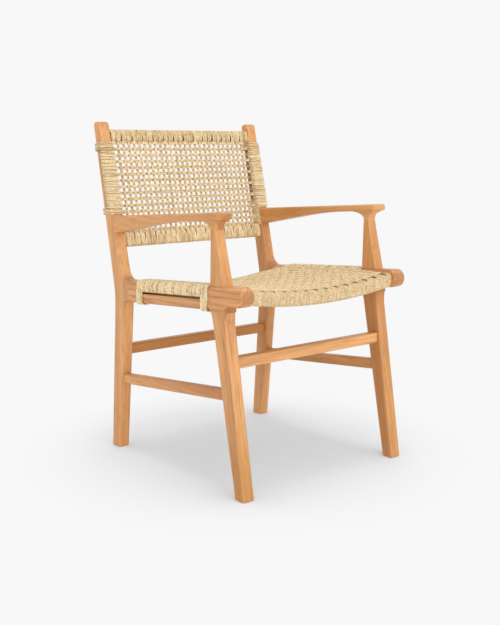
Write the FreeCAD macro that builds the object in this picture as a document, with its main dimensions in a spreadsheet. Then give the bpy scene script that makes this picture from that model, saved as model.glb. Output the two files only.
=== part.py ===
import FreeCAD, Part
import math
import os
import Sketcher
from FreeCAD import Vector

# Wooden garden armchair with a cord seat and back.
# The front faces -Y, +Z is up, +X is the sitter's left; millimetres.
# The origin is on the floor below the middle of the bounding box.

doc = FreeCAD.newDocument("garden_chair")
sheet = doc.addObject("Spreadsheet::Sheet", "Sizes")

# Driving sizes
SIZES = {
    "overall_height": 820,
    "frame_half_width": 236,
    "seat_rake": 4,
    "joint_clearance": 0.15,
    "arris_radius": 6.5,
    "foot_round": 4,
    "post_width": 32,
    "post_foot_y": 230.3,
    "post_foot_depth": 34.4,
    "post_bend_y": 195,
    "post_bend_z": 395,
    "post_bend_depth": 44,
    "post_bend_radius": 250,
    "post_top_y": 287,
    "post_top_depth": 26.4,
    "post_top_radius": 9,
    "post_above_rail": 35,
    "post_slot_width": 6.6,
    "post_slot_low_z": 604.5,
    "post_slot_high_z": 755,
    "knee_radius": 32,
    "lug_margin": 3,
    "knee_under_radius": 9,
    "leg_width": 32,
    "leg_foot_reach": 275.4,
    "leg_foot_depth": 33.6,
    "leg_neck_z": 385,
    "leg_neck_reach": 205,
    "leg_neck_depth": 46,
    "leg_neck_radius": 60,
    "leg_top_reach": 202,
    "leg_top_depth": 54,
    "leg_top_inset": 1,
    "rail_width": 37,
    "rail_top_z": 449,
    "rail_height": 53,
    "rail_block_height": 57,
    "rail_reach": 289,
    "knob_height": 43,
    "knob_length": 60,
    "knob_end_flat": 3,
    "rail_bar_height": 22,
    "rail_slot_height": 8,
    "rail_slot_reach": 160,
    "rail_slot_rear_y": 95,
    "arm_top_z": 606.8,
    "arm_thickness": 16,
    "arm_rear_thickness": 43,
    "arm_thin_y": -30,
    "arm_bend_radius": 1300,
    "arm_reach": 222,
    "arm_front_width": 46,
    "arm_outward": 4,
    "arm_rear_width": 31,
    "arm_tip_radius": 20,
    "arm_arris": 5.5,
    "arm_flare_drop": 36.5,
    "arm_flare_fore": 15,
    "arm_flare_rear": 70,
    "arm_flare_widening": 0.42,
    "arm_flare_sink": 2,
    "arm_post_rear_reach": 172.5,
    "arm_post_foot_depth": 52,
    "arm_post_foot_width": 30,
    "arm_post_head_depth": 22,
    "arm_post_head_width": 24,
    "arm_post_bevel": 4,
    "stretcher_height": 26,
    "stretcher_thick": 25,
    "side_stretcher_thick": 20,
    "stretcher_arris": 5,
    "front_stretcher_z": 295.5,
    "rear_stretcher_z": 256.5,
    "side_stretcher_front_z": 225,
    "side_stretcher_rear_z": 184,
    "seat_rail_thick": 24,
    "seat_rail_height": 27.5,
    "seat_rail_arris": 6,
    "seat_dip": 18,
    "seat_front_reach": 263,
    "seat_front_top_z": 439.5,
    "seat_rear_y": 186,
    "seat_rear_top_z": 399.5,
    "back_rail_thick": 18,
    "back_top_height": 24,
    "back_top_z": 785,
    "back_bottom_height": 29,
    "back_bottom_z": 530,
    "tenon_length": 14,
    "tenon_short_length": 8,
    "tenon_thick": 12,
    "tenon_height": 26,
    "peg_radius": 6,
    "dowel_radius": 4,
    "dowel_length": 36,
    "cord_thick": 3.2,
    "cord_pitch": 3.7,
    "wrap_thick": 3.3,
    "band_gap": 2,
    "back_band_turns": 5,
    "back_wrap_low_z": 613.5,
    "back_wrap_high_z": 747,
    "back_net_columns": 24,
    "back_net_rows": 12,
    "back_net_open_share": 0.54,
    "back_net_thick": 7,
    "back_net_forward": 4,
    "seat_band_turns": 6,
    "seat_wrap_reach": 146,
    "seat_wrap_rear_y": 83,
    "seat_weave_thick": 7,
}
for row, (alias, value) in enumerate(SIZES.items(), 1):
    sheet.set(f"A{row}", str(value))
    sheet.setAlias(f"A{row}", alias)

# Places that follow from the sizes.
# The main heights share the overall height, and other heights stay with a neighbour.
# The pieces at the front keep together with the knob on the end of the side rail.
places = doc.addObject("Spreadsheet::Sheet", "Places")
HEIGHT_SHARE = "Sizes.overall_height / (Sizes.back_top_z + Sizes.post_above_rail)"
SHARED_HEIGHTS = (
    "rail_top_z", "arm_top_z", "back_bottom_z", "back_top_z", "post_slot_low_z", "back_wrap_low_z",
    "front_stretcher_z", "rear_stretcher_z", "side_stretcher_front_z", "side_stretcher_rear_z",
)
NEIGHBOURS = {
    "post_bend_z": "rail_top_z",
    "leg_neck_z": "rail_top_z",
    "seat_front_top_z": "rail_top_z",
    "seat_rear_top_z": "rail_top_z",
    "post_slot_high_z": "back_top_z",
    "back_wrap_high_z": "back_top_z",
}
FRONT_SHIFT = (
    "(Sizes.rail_reach - Sizes.knob_length - Sizes.leg_top_reach - Sizes.leg_top_depth / 2)"
)
FRONT_REACHES = (
    "leg_foot_reach", "leg_neck_reach", "leg_top_reach", "rail_slot_reach",
    "arm_reach", "arm_post_rear_reach", "seat_front_reach", "seat_wrap_reach",
)
FORMULAS = {alias: f"Sizes.{alias} * {HEIGHT_SHARE}" for alias in SHARED_HEIGHTS}
for alias, anchor in NEIGHBOURS.items():
    FORMULAS[alias] = f"{FORMULAS[anchor]} + Sizes.{alias} - Sizes.{anchor}"
for alias in FRONT_REACHES:
    FORMULAS[alias] = f"Sizes.{alias} + {FRONT_SHIFT}"
for row, (alias, formula) in enumerate(FORMULAS.items(), 1):
    places.set(f"A{row}", f"={formula}")
    places.setAlias(f"A{row}", alias)
doc.recompute()

# Lines of the side view, as expressions on the sheets
SLOPE = "tan(Sizes.seat_rake)"
POST_RUN = "(Sizes.overall_height - Places.post_bend_z)"
POST_FRONT_Y = "(Sizes.post_bend_y - Sizes.post_bend_depth / 2)"
POST_FRONT_LEAN = (
    f"((Sizes.post_top_y - Sizes.post_top_depth / 2 - {POST_FRONT_Y}) / {POST_RUN})"
)
POST_FOOT_FRONT_Y = "(Sizes.post_foot_y - Sizes.post_foot_depth / 2)"
POST_UNDER_LEAN = f"(({POST_FRONT_Y} - {POST_FOOT_FRONT_Y}) / Places.post_bend_z)"
LEG_LEAN = "((Places.leg_foot_reach - Places.leg_neck_reach) / Places.leg_neck_z)"


def rail_top(y):
    """Height of the side rail's top line at y."""
    return f"(Places.rail_top_z - {SLOPE} * ({y}))"


def arm_top(y):
    """Height of the armrest's top line at y."""
    return f"(Places.arm_top_z - {SLOPE} * ({y}))"


def post_front(z):
    """Front edge of the rear post above its bend, at height z."""
    return f"({POST_FRONT_Y} + {POST_FRONT_LEAN} * (({z}) - Places.post_bend_z))"


def post_under(z):
    """Front edge of the rear post below its bend, at height z."""
    return f"({POST_FOOT_FRONT_Y} + {POST_UNDER_LEAN} * ({z}))"


def post_middle(z):
    """Middle of the rear post above its bend, at height z."""
    lean = f"(Sizes.post_top_y - Sizes.post_bend_y) / {POST_RUN}"
    return f"(Sizes.post_bend_y + {lean} * (({z}) - Places.post_bend_z))"


def post_lower_middle(z):
    """Middle of the rear post below its bend, at height z."""
    lean = "(Sizes.post_bend_y - Sizes.post_foot_y) / Places.post_bend_z"
    return f"(Sizes.post_foot_y + {lean} * ({z}))"


def leg_middle(z):
    """Middle of the front leg at height z."""
    return f"({LEG_LEAN} * ({z}) - Places.leg_foot_reach)"


def leg_depth(z):
    """Depth of the front leg below its neck, at height z."""
    growth = "(Sizes.leg_neck_depth - Sizes.leg_foot_depth) / Places.leg_neck_z"
    return f"(Sizes.leg_foot_depth + {growth} * ({z}))"


def leg_rear(z):
    """Rear edge of the front leg below its neck, at height z."""
    return f"({leg_middle(z)} + {leg_depth(z)} / 2)"


def meet_post(line_z):
    """Where a line at the seat's rake, line_z high at y = 0, meets the post's front."""
    top = f"({POST_FRONT_Y} + {POST_FRONT_LEAN} * ({line_z} - Places.post_bend_z))"
    return f"({top} / (1 + {POST_FRONT_LEAN} * {SLOPE}))"


# Share of the knee's radius that its rounding takes up along the rail
KNEE_SHARE = 0.95
KNEE_Y = meet_post("Places.rail_top_z")
UNDER_LINE = "(Places.rail_top_z - Sizes.rail_height)"
UNDER_Y = (
    f"(({POST_FOOT_FRONT_Y} + {POST_UNDER_LEAN} * {UNDER_LINE})"
    f" / (1 + {POST_UNDER_LEAN} * {SLOPE}))"
)
LUG_Y = f"({KNEE_Y} - Sizes.knee_radius * {KNEE_SHARE} - Sizes.lug_margin)"
BLOCK_FRONT = "(-Places.leg_top_reach - Sizes.leg_top_depth / 2)"
BLOCK_REAR = "(-Places.leg_top_reach + Sizes.leg_top_depth / 2)"
ARM_POST_Y = "(-Places.arm_post_rear_reach - Sizes.arm_post_head_depth / 2)"
ARM_JOINT_Z = f"({arm_top(ARM_POST_Y)} - Sizes.arm_flare_drop)"


def plane(body, role):
    """The body's own origin plane of that role."""
    for feature in body.Origin.OriginFeatures:
        if feature.Role == role:
            return feature
    raise RuntimeError(f"no plane {role}")


def new_body(label, x="0"):
    """A body named for its file, moved sideways to x."""
    body = doc.addObject("PartDesign::Body", label)
    body.Label = label
    body.setExpression("Placement.Base.x", x)
    return body


def outline(body, name, role, loops, offset="0"):
    """Closed loops of straight sides, each corner held by two expressions."""
    sketch = body.newObject("Sketcher::SketchObject", name)
    sketch.AttachmentSupport = (plane(body, role), "")
    sketch.MapMode = "FlatFace"
    sketch.setExpression("AttachmentOffset.Base.z", offset)
    first = 0
    for loop in loops:
        count = len(loop)
        turns = [2 * math.pi * k / count for k in range(count)]
        start = [Vector(100 * math.cos(a) + 300 * first, 100 * math.sin(a), 0) for a in turns]
        for k in range(count):
            sketch.addGeometry(Part.LineSegment(start[k], start[(k + 1) % count]))
        for k in range(count):
            following = first + (k + 1) % count
            sketch.addConstraint(Sketcher.Constraint("Coincident", first + k, 2, following, 1))
        for k, corner in enumerate(loop):
            for kind, place, value in zip(("DistanceX", "DistanceY"), corner, start[k][:2]):
                index = sketch.addConstraint(
                    Sketcher.Constraint(kind, -1, 1, first + k, 1, value))
                sketch.setExpression(f"Constraints[{index}]", place)
        first += count
    return sketch


def pad(body, sketch, length, reversed_way=False):
    """Material from a sketch along its normal."""
    feature = body.newObject("PartDesign::Pad", f"{sketch.Name}_pad")
    feature.Profile = sketch
    feature.setExpression("Length", length)
    feature.Reversed = reversed_way
    doc.recompute()
    return feature


def pocket(body, sketch, length):
    """A cut from a sketch along its normal, checked to take something away."""
    before = body.Shape.Volume
    feature = body.newObject("PartDesign::Pocket", f"{sketch.Name}_cut")
    feature.Profile = sketch
    feature.setExpression("Length", length)
    feature.Reversed = True
    doc.recompute()
    if not body.Shape.Volume < before - 1:
        raise RuntimeError(f"{sketch.Name} cuts nothing")
    return feature


def side_slab(body, name, corners, width):
    """A slab of the side view, width wide, about the body's own middle plane."""
    sketch = outline(body, name, "YZ_Plane", [corners], f"-({width}) / 2")
    return sketch, pad(body, sketch, width)


def side_cut(body, name, corners, width):
    """A cut of the side view, width wide, about the body's own middle plane."""
    return pocket(body, outline(body, name, "YZ_Plane", [corners], f"-({width}) / 2"), width)


def fillet(body, edges, radius):
    """Round the named edges of the body's last feature."""
    last = body.Tip
    feature = body.newObject("PartDesign::Fillet", f"{body.Name}_round")
    feature.Base = (last, edges)
    feature.setExpression("Radius", radius)
    doc.recompute()
    if not edges or "Invalid" in feature.State:
        raise RuntimeError(f"{body.Name} can't be rounded by {radius}")
    return feature


def names_of(body, test):
    """Names of the edges of the body's last feature that pass a test."""
    return [f"Edge{k + 1}" for k, edge in enumerate(body.Tip.Shape.Edges) if test(edge)]


def on_floor(edge):
    """A test for edges that lie on the floor."""
    return edge.BoundBox.ZMax < 0.01


def corner_edges(body, sketch, corners):
    """Edges across the side view that start from these corners of its sketch."""
    spots = [sketch.getPoint(k, 1) for k in corners]

    def across(edge):
        box = edge.BoundBox
        if box.YLength > 0.01 or box.ZLength > 0.01:
            return False
        return any(math.hypot(box.YMin - p.x, box.ZMin - p.y) < 0.05 for p in spots)
    return names_of(body, across)


def rod(body, kind, name, start, axis, length, radius):
    """A round peg or hole from a start point along an axis."""
    turn = {"x": (Vector(0, 1, 0), 90), "y": (Vector(1, 0, 0), -90), "z": (Vector(0, 0, 1), 0)}
    feature = body.newObject(f"PartDesign::{kind}Cylinder", name)
    feature.Placement = FreeCAD.Placement(Vector(), FreeCAD.Rotation(*turn[axis]))
    for place, value in zip("xyz", start):
        feature.setExpression(f"Placement.Base.{place}", value)
    feature.setExpression("Height", length)
    feature.setExpression("Radius", radius)
    doc.recompute()
    return feature


def side_hole(body, name, side, y, z, width, length):
    """A round mortise in the inner face of a side frame's piece."""
    start = f"-({width}) / 2" if side > 0 else f"({width}) / 2 - ({length})"
    return rod(body, "Subtractive", name, (start, y, z), "x", length, PEG_HOLE)


# How far a cut passes the face that it enters, a trim passes the piece, a tenon starts in its bar
OVERCUT = 5
TRIM_ROOM = 20
TENON_ROOT = 20
# Edges longer than this are a bar's long edges
LONG_EDGE = 60
PEG_HOLE = "(Sizes.peg_radius + Sizes.joint_clearance)"
PEG_DEPTH = "(Sizes.tenon_length + Sizes.joint_clearance)"
SHORT_DEPTH = "(Sizes.tenon_short_length + Sizes.joint_clearance)"
TENON_GAP = "(Sizes.tenon_thick + 2 * Sizes.joint_clearance)"
DOWEL_HOLE = "(Sizes.dowel_radius + Sizes.joint_clearance)"
DOWEL_HALF = "(Sizes.dowel_length / 2)"
SIDES = {"left": -1, "right": 1}


def side_x(side):
    """Middle plane of the left or right side frame."""
    return "Sizes.frame_half_width" if side > 0 else "-Sizes.frame_half_width"


def rail_tenon(gap):
    """Corners of the side rail's tenon in the post's lug, grown by a gap."""
    end = f"({LUG_Y} + Sizes.tenon_length + {gap})"
    half = f"(Sizes.tenon_height / 2 + {gap})"

    def middle(y):
        return f"({rail_top(y)} - Sizes.rail_height / 2)"
    return [(LUG_Y, f"{middle(LUG_Y)} - {half}"), (end, f"{middle(end)} - {half}"),
            (end, f"{middle(end)} + {half}"), (LUG_Y, f"{middle(LUG_Y)} + {half}")]


def leg_tenon(gap):
    """Corners of the front leg's tenon in the rail, grown by a gap."""
    near = f"(-Places.leg_top_reach - Sizes.tenon_height / 2 - {gap})"
    far = f"(-Places.leg_top_reach + Sizes.tenon_height / 2 + {gap})"

    def foot(y):
        return f"({rail_top(y)} - Sizes.rail_block_height)"

    def head(y):
        return f"({foot(y)} + Sizes.tenon_length + {gap})"
    return [(near, foot(near)), (far, foot(far)), (far, head(far)), (near, head(near))]


def stretcher_tenon(end, gap):
    """Corners of a side stretcher's tenon at its front or rear end, grown by a gap."""
    z = f"Places.side_stretcher_{end}_z"
    low = f"({z} - Sizes.tenon_thick / 2 - {gap})"
    high = f"({z} + Sizes.tenon_thick / 2 + {gap})"
    edge = post_under if end == "rear" else leg_rear
    deep = f"(Sizes.tenon_length + {gap})"
    deep = deep if end == "rear" else f"(-{deep})"
    return [(edge(low), low), (edge(high), high),
            (f"{edge(high)} + {deep}", high), (f"{edge(low)} + {deep}", low)]


# Rear posts
def rear_post(word, side):
    """Floor to top in one piece, with a knee for the side rail and a slot for the cord."""
    body = new_body(f"rear_post_{word}", side_x(side))
    corners = [
        ("Sizes.post_foot_y + Sizes.post_foot_depth / 2", "0"),
        ("Sizes.post_bend_y + Sizes.post_bend_depth / 2", "Places.post_bend_z"),
        ("Sizes.post_top_y + Sizes.post_top_depth / 2", "Sizes.overall_height"),
        ("Sizes.post_top_y - Sizes.post_top_depth / 2", "Sizes.overall_height"),
        (KNEE_Y, rail_top(KNEE_Y)),
        (LUG_Y, rail_top(LUG_Y)),
        (LUG_Y, f"{rail_top(LUG_Y)} - Sizes.rail_height"),
        (UNDER_Y, f"{rail_top(UNDER_Y)} - Sizes.rail_height"),
        (POST_FOOT_FRONT_Y, "0"),
    ]
    sketch, _ = side_slab(body, f"post_{word}", corners, "Sizes.post_width")
    lug_y = sketch.getPoint(5, 1).x
    for corner, radius in ((1, "post_bend"), (4, "knee"), (7, "knee_under")):
        fillet(body, corner_edges(body, sketch, [corner]), f"Sizes.{radius}_radius")
    fillet(body, corner_edges(body, sketch, [2, 3]), "Sizes.post_top_radius")
    half = body.Shape.BoundBox.XLength / 2

    def arris(edge):
        box = edge.BoundBox
        flat = box.XLength < 0.01 and abs(abs(box.XMin) - half) < 0.01
        return flat and box.ZMax > 0.01 and box.YMax > lug_y + 0.01
    fillet(body, names_of(body, arris), "Sizes.arris_radius")
    fillet(body, names_of(body, on_floor), "Sizes.foot_round")
    low, high = "Places.post_slot_low_z", "Places.post_slot_high_z"
    slot = [(f"{post_middle(z)} {sign} Sizes.post_slot_width / 2", z)
            for z, sign in ((low, "-"), (low, "+"), (high, "+"), (high, "-"))]
    side_cut(body, f"post_{word}_slot", slot, "2 * Sizes.post_width")
    gap = "Sizes.joint_clearance"
    side_cut(body, f"post_{word}_rail_mortise", rail_tenon(gap), TENON_GAP)
    side_cut(body, f"post_{word}_stretcher_mortise", stretcher_tenon("rear", gap), TENON_GAP)
    width = "Sizes.post_width"
    z = "Places.rear_stretcher_z"
    side_hole(body, f"post_{word}_rear_hole", side, post_lower_middle(z), z, width, PEG_DEPTH)
    side_hole(body, f"post_{word}_seat_hole", side, "Sizes.seat_rear_y", SEAT_REAR_PEG_Z,
              width, SHORT_DEPTH)
    for end in ("top", "bottom"):
        z = f"Places.back_{end}_z"
        side_hole(body, f"post_{word}_{end}_hole", side, post_middle(z), z, width, PEG_DEPTH)
    for level in ARM_DOWEL_LEVELS:
        rod(body, "Subtractive", f"post_{word}_arm_hole", ("0", f"{post_front(level)} - {OVERCUT}", level),
            "y", f"{DOWEL_HALF} + {OVERCUT}", DOWEL_HOLE)
    return body


SEAT_REAR_PEG_Z = "(Places.seat_rear_top_z + Sizes.seat_dip - Sizes.seat_rail_height / 2)"
SEAT_FRONT_PEG_Z = "(Places.seat_front_top_z + Sizes.seat_dip - Sizes.seat_rail_height / 2)"
ARM_END_Z = arm_top(meet_post("Places.arm_top_z"))
ARM_DOWEL_LEVELS = [f"({ARM_END_Z} - Sizes.arm_rear_thickness * {part})" for part in (0.3, 0.68)]


# Front legs
def front_leg(word, side):
    """Splayed leg, flared at the top, with a tenon into the side rail."""
    body = new_body(f"front_leg_{word}", side_x(side))
    neck = leg_middle("Places.leg_neck_z")
    leg_back = f"({BLOCK_REAR} - Sizes.leg_top_inset)"
    corners = [
        ("-Places.leg_foot_reach + Sizes.leg_foot_depth / 2", "0"),
        (f"{neck} + Sizes.leg_neck_depth / 2", "Places.leg_neck_z"),
        (leg_back, f"{rail_top(leg_back)} - Sizes.rail_block_height"),
        (BLOCK_FRONT, f"{rail_top(BLOCK_FRONT)} - Sizes.rail_block_height"),
        (f"{neck} - Sizes.leg_neck_depth / 2", "Places.leg_neck_z"),
        ("-Places.leg_foot_reach - Sizes.leg_foot_depth / 2", "0"),
    ]
    sketch, _ = side_slab(body, f"leg_{word}", corners, "Sizes.leg_width")
    fillet(body, corner_edges(body, sketch, [1, 4]), "Sizes.leg_neck_radius")
    half = body.Shape.BoundBox.XLength / 2
    top = min(sketch.getPoint(2, 1).y, sketch.getPoint(3, 1).y) - 0.01

    def arris(edge):
        box = edge.BoundBox
        flat = box.XLength < 0.01 and abs(abs(box.XMin) - half) < 0.01
        return flat and box.ZMax > 0.01 and box.ZMin < top
    fillet(body, names_of(body, arris), "Sizes.arris_radius")
    fillet(body, names_of(body, on_floor), "Sizes.foot_round")
    side_slab(body, f"leg_{word}_tenon", leg_tenon("0"), "Sizes.tenon_thick")
    z = "Places.front_stretcher_z"
    side_hole(body, f"leg_{word}_front_hole", side, leg_middle(z), z, "Sizes.leg_width", PEG_DEPTH)
    side_cut(body, f"leg_{word}_stretcher_mortise",
             stretcher_tenon("front", "Sizes.joint_clearance"), TENON_GAP)
    return body


# Side seat rails
def side_rail(word, side):
    """Raked rail from the post's lug to a rounded knob, slotted below its upper bar."""
    body = new_body(f"side_rail_{word}", side_x(side))
    front = "(-Sizes.rail_reach)"
    corners = [
        (LUG_Y, rail_top(LUG_Y)),
        (front, rail_top(front)),
        (front, f"{rail_top(front)} - Sizes.knob_height"),
        (BLOCK_FRONT, f"{rail_top(BLOCK_FRONT)} - Sizes.knob_height"),
        (BLOCK_FRONT, f"{rail_top(BLOCK_FRONT)} - Sizes.rail_block_height"),
        (BLOCK_REAR, f"{rail_top(BLOCK_REAR)} - Sizes.rail_block_height"),
        (BLOCK_REAR, f"{rail_top(BLOCK_REAR)} - Sizes.rail_height"),
        (LUG_Y, f"{rail_top(LUG_Y)} - Sizes.rail_height"),
    ]
    sketch, _ = side_slab(body, f"rail_{word}", corners, "Sizes.rail_width")
    lug_y = sketch.getPoint(0, 1).x
    fillet(body, corner_edges(body, sketch, [1, 2]), "(Sizes.knob_height - Sizes.knob_end_flat) / 2")
    fillet(body, corner_edges(body, sketch, [3]),
           "(Sizes.rail_block_height - Sizes.knob_height) * 0.8")
    fillet(body, corner_edges(body, sketch, [6]),
           "(Sizes.rail_block_height - Sizes.rail_height) * 0.8")
    half = body.Shape.BoundBox.XLength / 2
    block = (sketch.getPoint(4, 1), sketch.getPoint(5, 1))

    def arris(edge):
        box = edge.BoundBox
        flat = box.XLength < 0.01 and abs(abs(box.XMin) - half) < 0.01
        rear = box.YMin > lug_y - 0.01
        under = (box.YMin > block[0].x - 0.01 and box.YMax < block[1].x + 0.01
                 and box.ZMax < block[0].y + 0.01)
        return flat and not rear and not under
    fillet(body, names_of(body, arris), "Sizes.arris_radius")
    ends = ("(-Places.rail_slot_reach)", "Sizes.rail_slot_rear_y")
    roof, base = "Sizes.rail_bar_height", "(Sizes.rail_bar_height + Sizes.rail_slot_height)"
    slot = [(y, f"{rail_top(y)} - {drop}")
            for y, drop in ((ends[0], roof), (ends[1], roof), (ends[1], base), (ends[0], base))]
    side_cut(body, f"rail_{word}_slot", slot, "2 * Sizes.rail_width")
    side_slab(body, f"rail_{word}_tenon", rail_tenon("0"), "Sizes.tenon_thick")
    side_cut(body, f"rail_{word}_leg_mortise", leg_tenon("Sizes.joint_clearance"), TENON_GAP)
    side_hole(body, f"rail_{word}_seat_hole", side, "-Places.seat_front_reach", SEAT_FRONT_PEG_Z,
              "Sizes.rail_width", PEG_DEPTH)
    rod(body, "Subtractive", f"rail_{word}_post_hole",
        ("0", ARM_POST_Y, f"{rail_top(ARM_POST_Y)} - {DOWEL_HALF}"), "z",
        f"{DOWEL_HALF} + {OVERCUT}", DOWEL_HOLE)
    return body


# Armrests
def bevelled(width, near, far, bevel):
    """Corners of a bevelled rectangle in plan, width wide, from y near to y far."""
    half = f"({width}) / 2"
    inner = f"({width}) / 2 - {bevel}"
    return [
        (f"-({inner})", near), (inner, near), (half, f"{near} + {bevel}"),
        (half, f"{far} - {bevel}"), (inner, far), (f"-({inner})", far),
        (f"-{half}", f"{far} - {bevel}"), (f"-{half}", f"{near} + {bevel}"),
    ]


def loft(body, kind, sections, ruled):
    """A loft through sketches."""
    feature = body.newObject(f"PartDesign::{kind}Loft", f"{sections[0].Name}_loft")
    feature.Profile = sections[0]
    feature.Sections = sections[1:]
    feature.Ruled = ruled
    doc.recompute()
    return feature


# Growth of the flare: share of its height, of the extra width, and of its rear and front run
FLARE = ((0, 0, 0, 0), (0.41, 0.12, 0.08, 0.1), (0.7, 0.42, 0.32, 0.4), (1, 1, 1, 1))


def armrest(word, side):
    """Thin at the middle, deep at the post, flaring down to the arm post in front."""
    body = new_body(f"armrest_{word}", side_x(side))
    tip, thin = "(-Places.arm_reach)", "Sizes.arm_thin_y"
    deep_line = "(Places.arm_top_z - Sizes.arm_rear_thickness)"
    rear_top, rear_low = meet_post("Places.arm_top_z"), meet_post(deep_line)
    corners = [
        (tip, arm_top(tip)),
        (tip, f"{arm_top(tip)} - Sizes.arm_thickness"),
        (thin, f"{arm_top(thin)} - Sizes.arm_thickness"),
        (rear_low, f"{arm_top(rear_low)} - Sizes.arm_rear_thickness"),
        (rear_top, arm_top(rear_top)),
    ]
    full_width = "(Sizes.arm_front_width + 2 * Sizes.arm_outward)"
    sketch, _ = side_slab(body, f"arm_{word}", corners, full_width)
    rear = min(sketch.getPoint(3, 1).x, sketch.getPoint(4, 1).x)
    fillet(body, corner_edges(body, sketch, [2]), "Sizes.arm_bend_radius")
    narrow = "Sizes.arm_rear_width / 2"
    trims = []
    for sign, edge in (("", side), ("-", -side)):
        outward = "+" if edge > 0 else "-"
        wide = f"(Sizes.arm_front_width / 2 {outward} Sizes.arm_outward)"
        trims.append([
            (f"{sign}({narrow})", "Sizes.post_top_y"),
            (f"{sign}{wide}", f"-Places.arm_reach - {TRIM_ROOM}"),
            (f"{sign}({full_width} + {TRIM_ROOM})", f"-Places.arm_reach - {TRIM_ROOM}"),
            (f"{sign}({full_width} + {TRIM_ROOM})", "Sizes.post_top_y"),
        ])
    pocket(body, outline(body, f"arm_{word}_plan", "XY_Plane", trims), "Sizes.overall_height")
    reach = body.Shape.BoundBox.YMin

    def upright(edge):
        box = edge.BoundBox
        return box.YLength < 0.01 and box.XLength < 0.01

    def at_tip(edge):
        return upright(edge) and abs(edge.BoundBox.YMin - reach) < 0.01
    fillet(body, names_of(body, at_tip), "Sizes.arm_tip_radius")

    def arris(edge):
        box = edge.BoundBox
        across = box.YLength < 0.01 and box.ZLength < 0.01 and box.YMin > reach + 1
        return not upright(edge) and not across and box.YMin < rear - 0.5
    fillet(body, names_of(body, arris), "Sizes.arm_arris")
    height = "(Sizes.arm_flare_drop - Sizes.arm_thickness + Sizes.arm_flare_sink)"
    near = "(-Places.arm_post_rear_reach - Sizes.arm_post_head_depth)"
    far = "(-Places.arm_post_rear_reach)"
    sections = []
    for rise, widen, back, fore in FLARE:
        width = f"(Sizes.arm_post_head_width * (1 + {widen} * Sizes.arm_flare_widening))"
        corners = bevelled(width, f"({near} - {fore} * Sizes.arm_flare_fore)",
                           f"({far} + {back} * Sizes.arm_flare_rear)", "Sizes.arm_post_bevel")
        sections.append(outline(body, f"arm_{word}_flare", "XY_Plane", [corners],
                                f"{ARM_JOINT_Z} + {height} * {rise}"))
    doc.recompute()
    loft(body, "Additive", sections, False)
    rod(body, "Subtractive", f"arm_{word}_head_hole", ("0", ARM_POST_Y, f"{ARM_JOINT_Z} - {OVERCUT}"), "z",
        f"{DOWEL_HALF} + {OVERCUT}", DOWEL_HOLE)
    for level in ARM_DOWEL_LEVELS:
        rod(body, "Subtractive", f"arm_{word}_end_hole",
            ("0", f"{post_front(level)} - {DOWEL_HALF}", level), "y",
            f"{DOWEL_HALF} + 2 * {OVERCUT}", DOWEL_HOLE)
    return body


# Arm posts
def arm_post(word, side):
    """Short upright, widening forward to its foot on the side rail."""
    body = new_body(f"arm_post_{word}", side_x(side))
    far = "(-Places.arm_post_rear_reach)"
    foot_z = f"({rail_top(far)} - {OVERCUT})"
    foot = outline(body, f"arm_post_{word}_foot", "XY_Plane", [bevelled(
        "Sizes.arm_post_foot_width", f"({far} - Sizes.arm_post_foot_depth)", far,
        "Sizes.arm_post_bevel")], foot_z)
    head = outline(body, f"arm_post_{word}_head", "XY_Plane", [bevelled(
        "Sizes.arm_post_head_width", f"({far} - Sizes.arm_post_head_depth)", far,
        "Sizes.arm_post_bevel")], ARM_JOINT_Z)
    doc.recompute()
    loft(body, "Additive", [foot, head], True)
    seat_cut = "2 * Sizes.arm_post_foot_width"
    near_y = f"({far} - 2 * Sizes.arm_post_foot_depth)"
    far_y = f"({far} + Sizes.arm_post_foot_depth)"
    side_cut(body, f"arm_post_{word}_seat", [
        (near_y, rail_top(near_y)), (far_y, rail_top(far_y)),
        (far_y, f"{rail_top(far_y)} - {seat_cut}"), (near_y, f"{rail_top(near_y)} - {seat_cut}"),
    ], "2 * Sizes.arm_post_foot_width")
    rod(body, "Subtractive", f"arm_post_{word}_low_hole",
        ("0", ARM_POST_Y, f"{rail_top(ARM_POST_Y)} - {OVERCUT}"), "z",
        f"{DOWEL_HALF} + {OVERCUT}", DOWEL_HOLE)
    rod(body, "Subtractive", f"arm_post_{word}_high_hole",
        ("0", ARM_POST_Y, f"{ARM_JOINT_Z} - {DOWEL_HALF}"), "z", f"{DOWEL_HALF} + {OVERCUT}", DOWEL_HOLE)
    return body


# Stretchers
def long_edges(axis):
    """A test for straight edges that run along an axis."""
    def test(edge):
        box = edge.BoundBox
        lengths = {"X": box.XLength, "Y": box.YLength, "Z": box.ZLength}
        return lengths.pop(axis) > LONG_EDGE and max(lengths.values()) < 0.01
    return test


def cross_stretcher(label, y, z, width):
    """Rounded bar between the side frames with a round tenon at each end."""
    body = new_body(label)
    half = f"(Sizes.frame_half_width - ({width}) / 2)"
    thick, height = "Sizes.stretcher_thick / 2", "Sizes.stretcher_height / 2"
    corners = [(f"{y} - {thick}", f"{z} - {height}"), (f"{y} + {thick}", f"{z} - {height}"),
               (f"{y} + {thick}", f"{z} + {height}"), (f"{y} - {thick}", f"{z} + {height}")]
    side_slab(body, f"{label}_bar", corners, f"2 * {half}")
    fillet(body, names_of(body, long_edges("X")), "Sizes.stretcher_arris")
    rod(body, "Additive", f"{label}_tenon", (f"-{half} - Sizes.tenon_length", y, z), "x",
        f"2 * ({half} + Sizes.tenon_length)", "Sizes.peg_radius")
    return body


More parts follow.
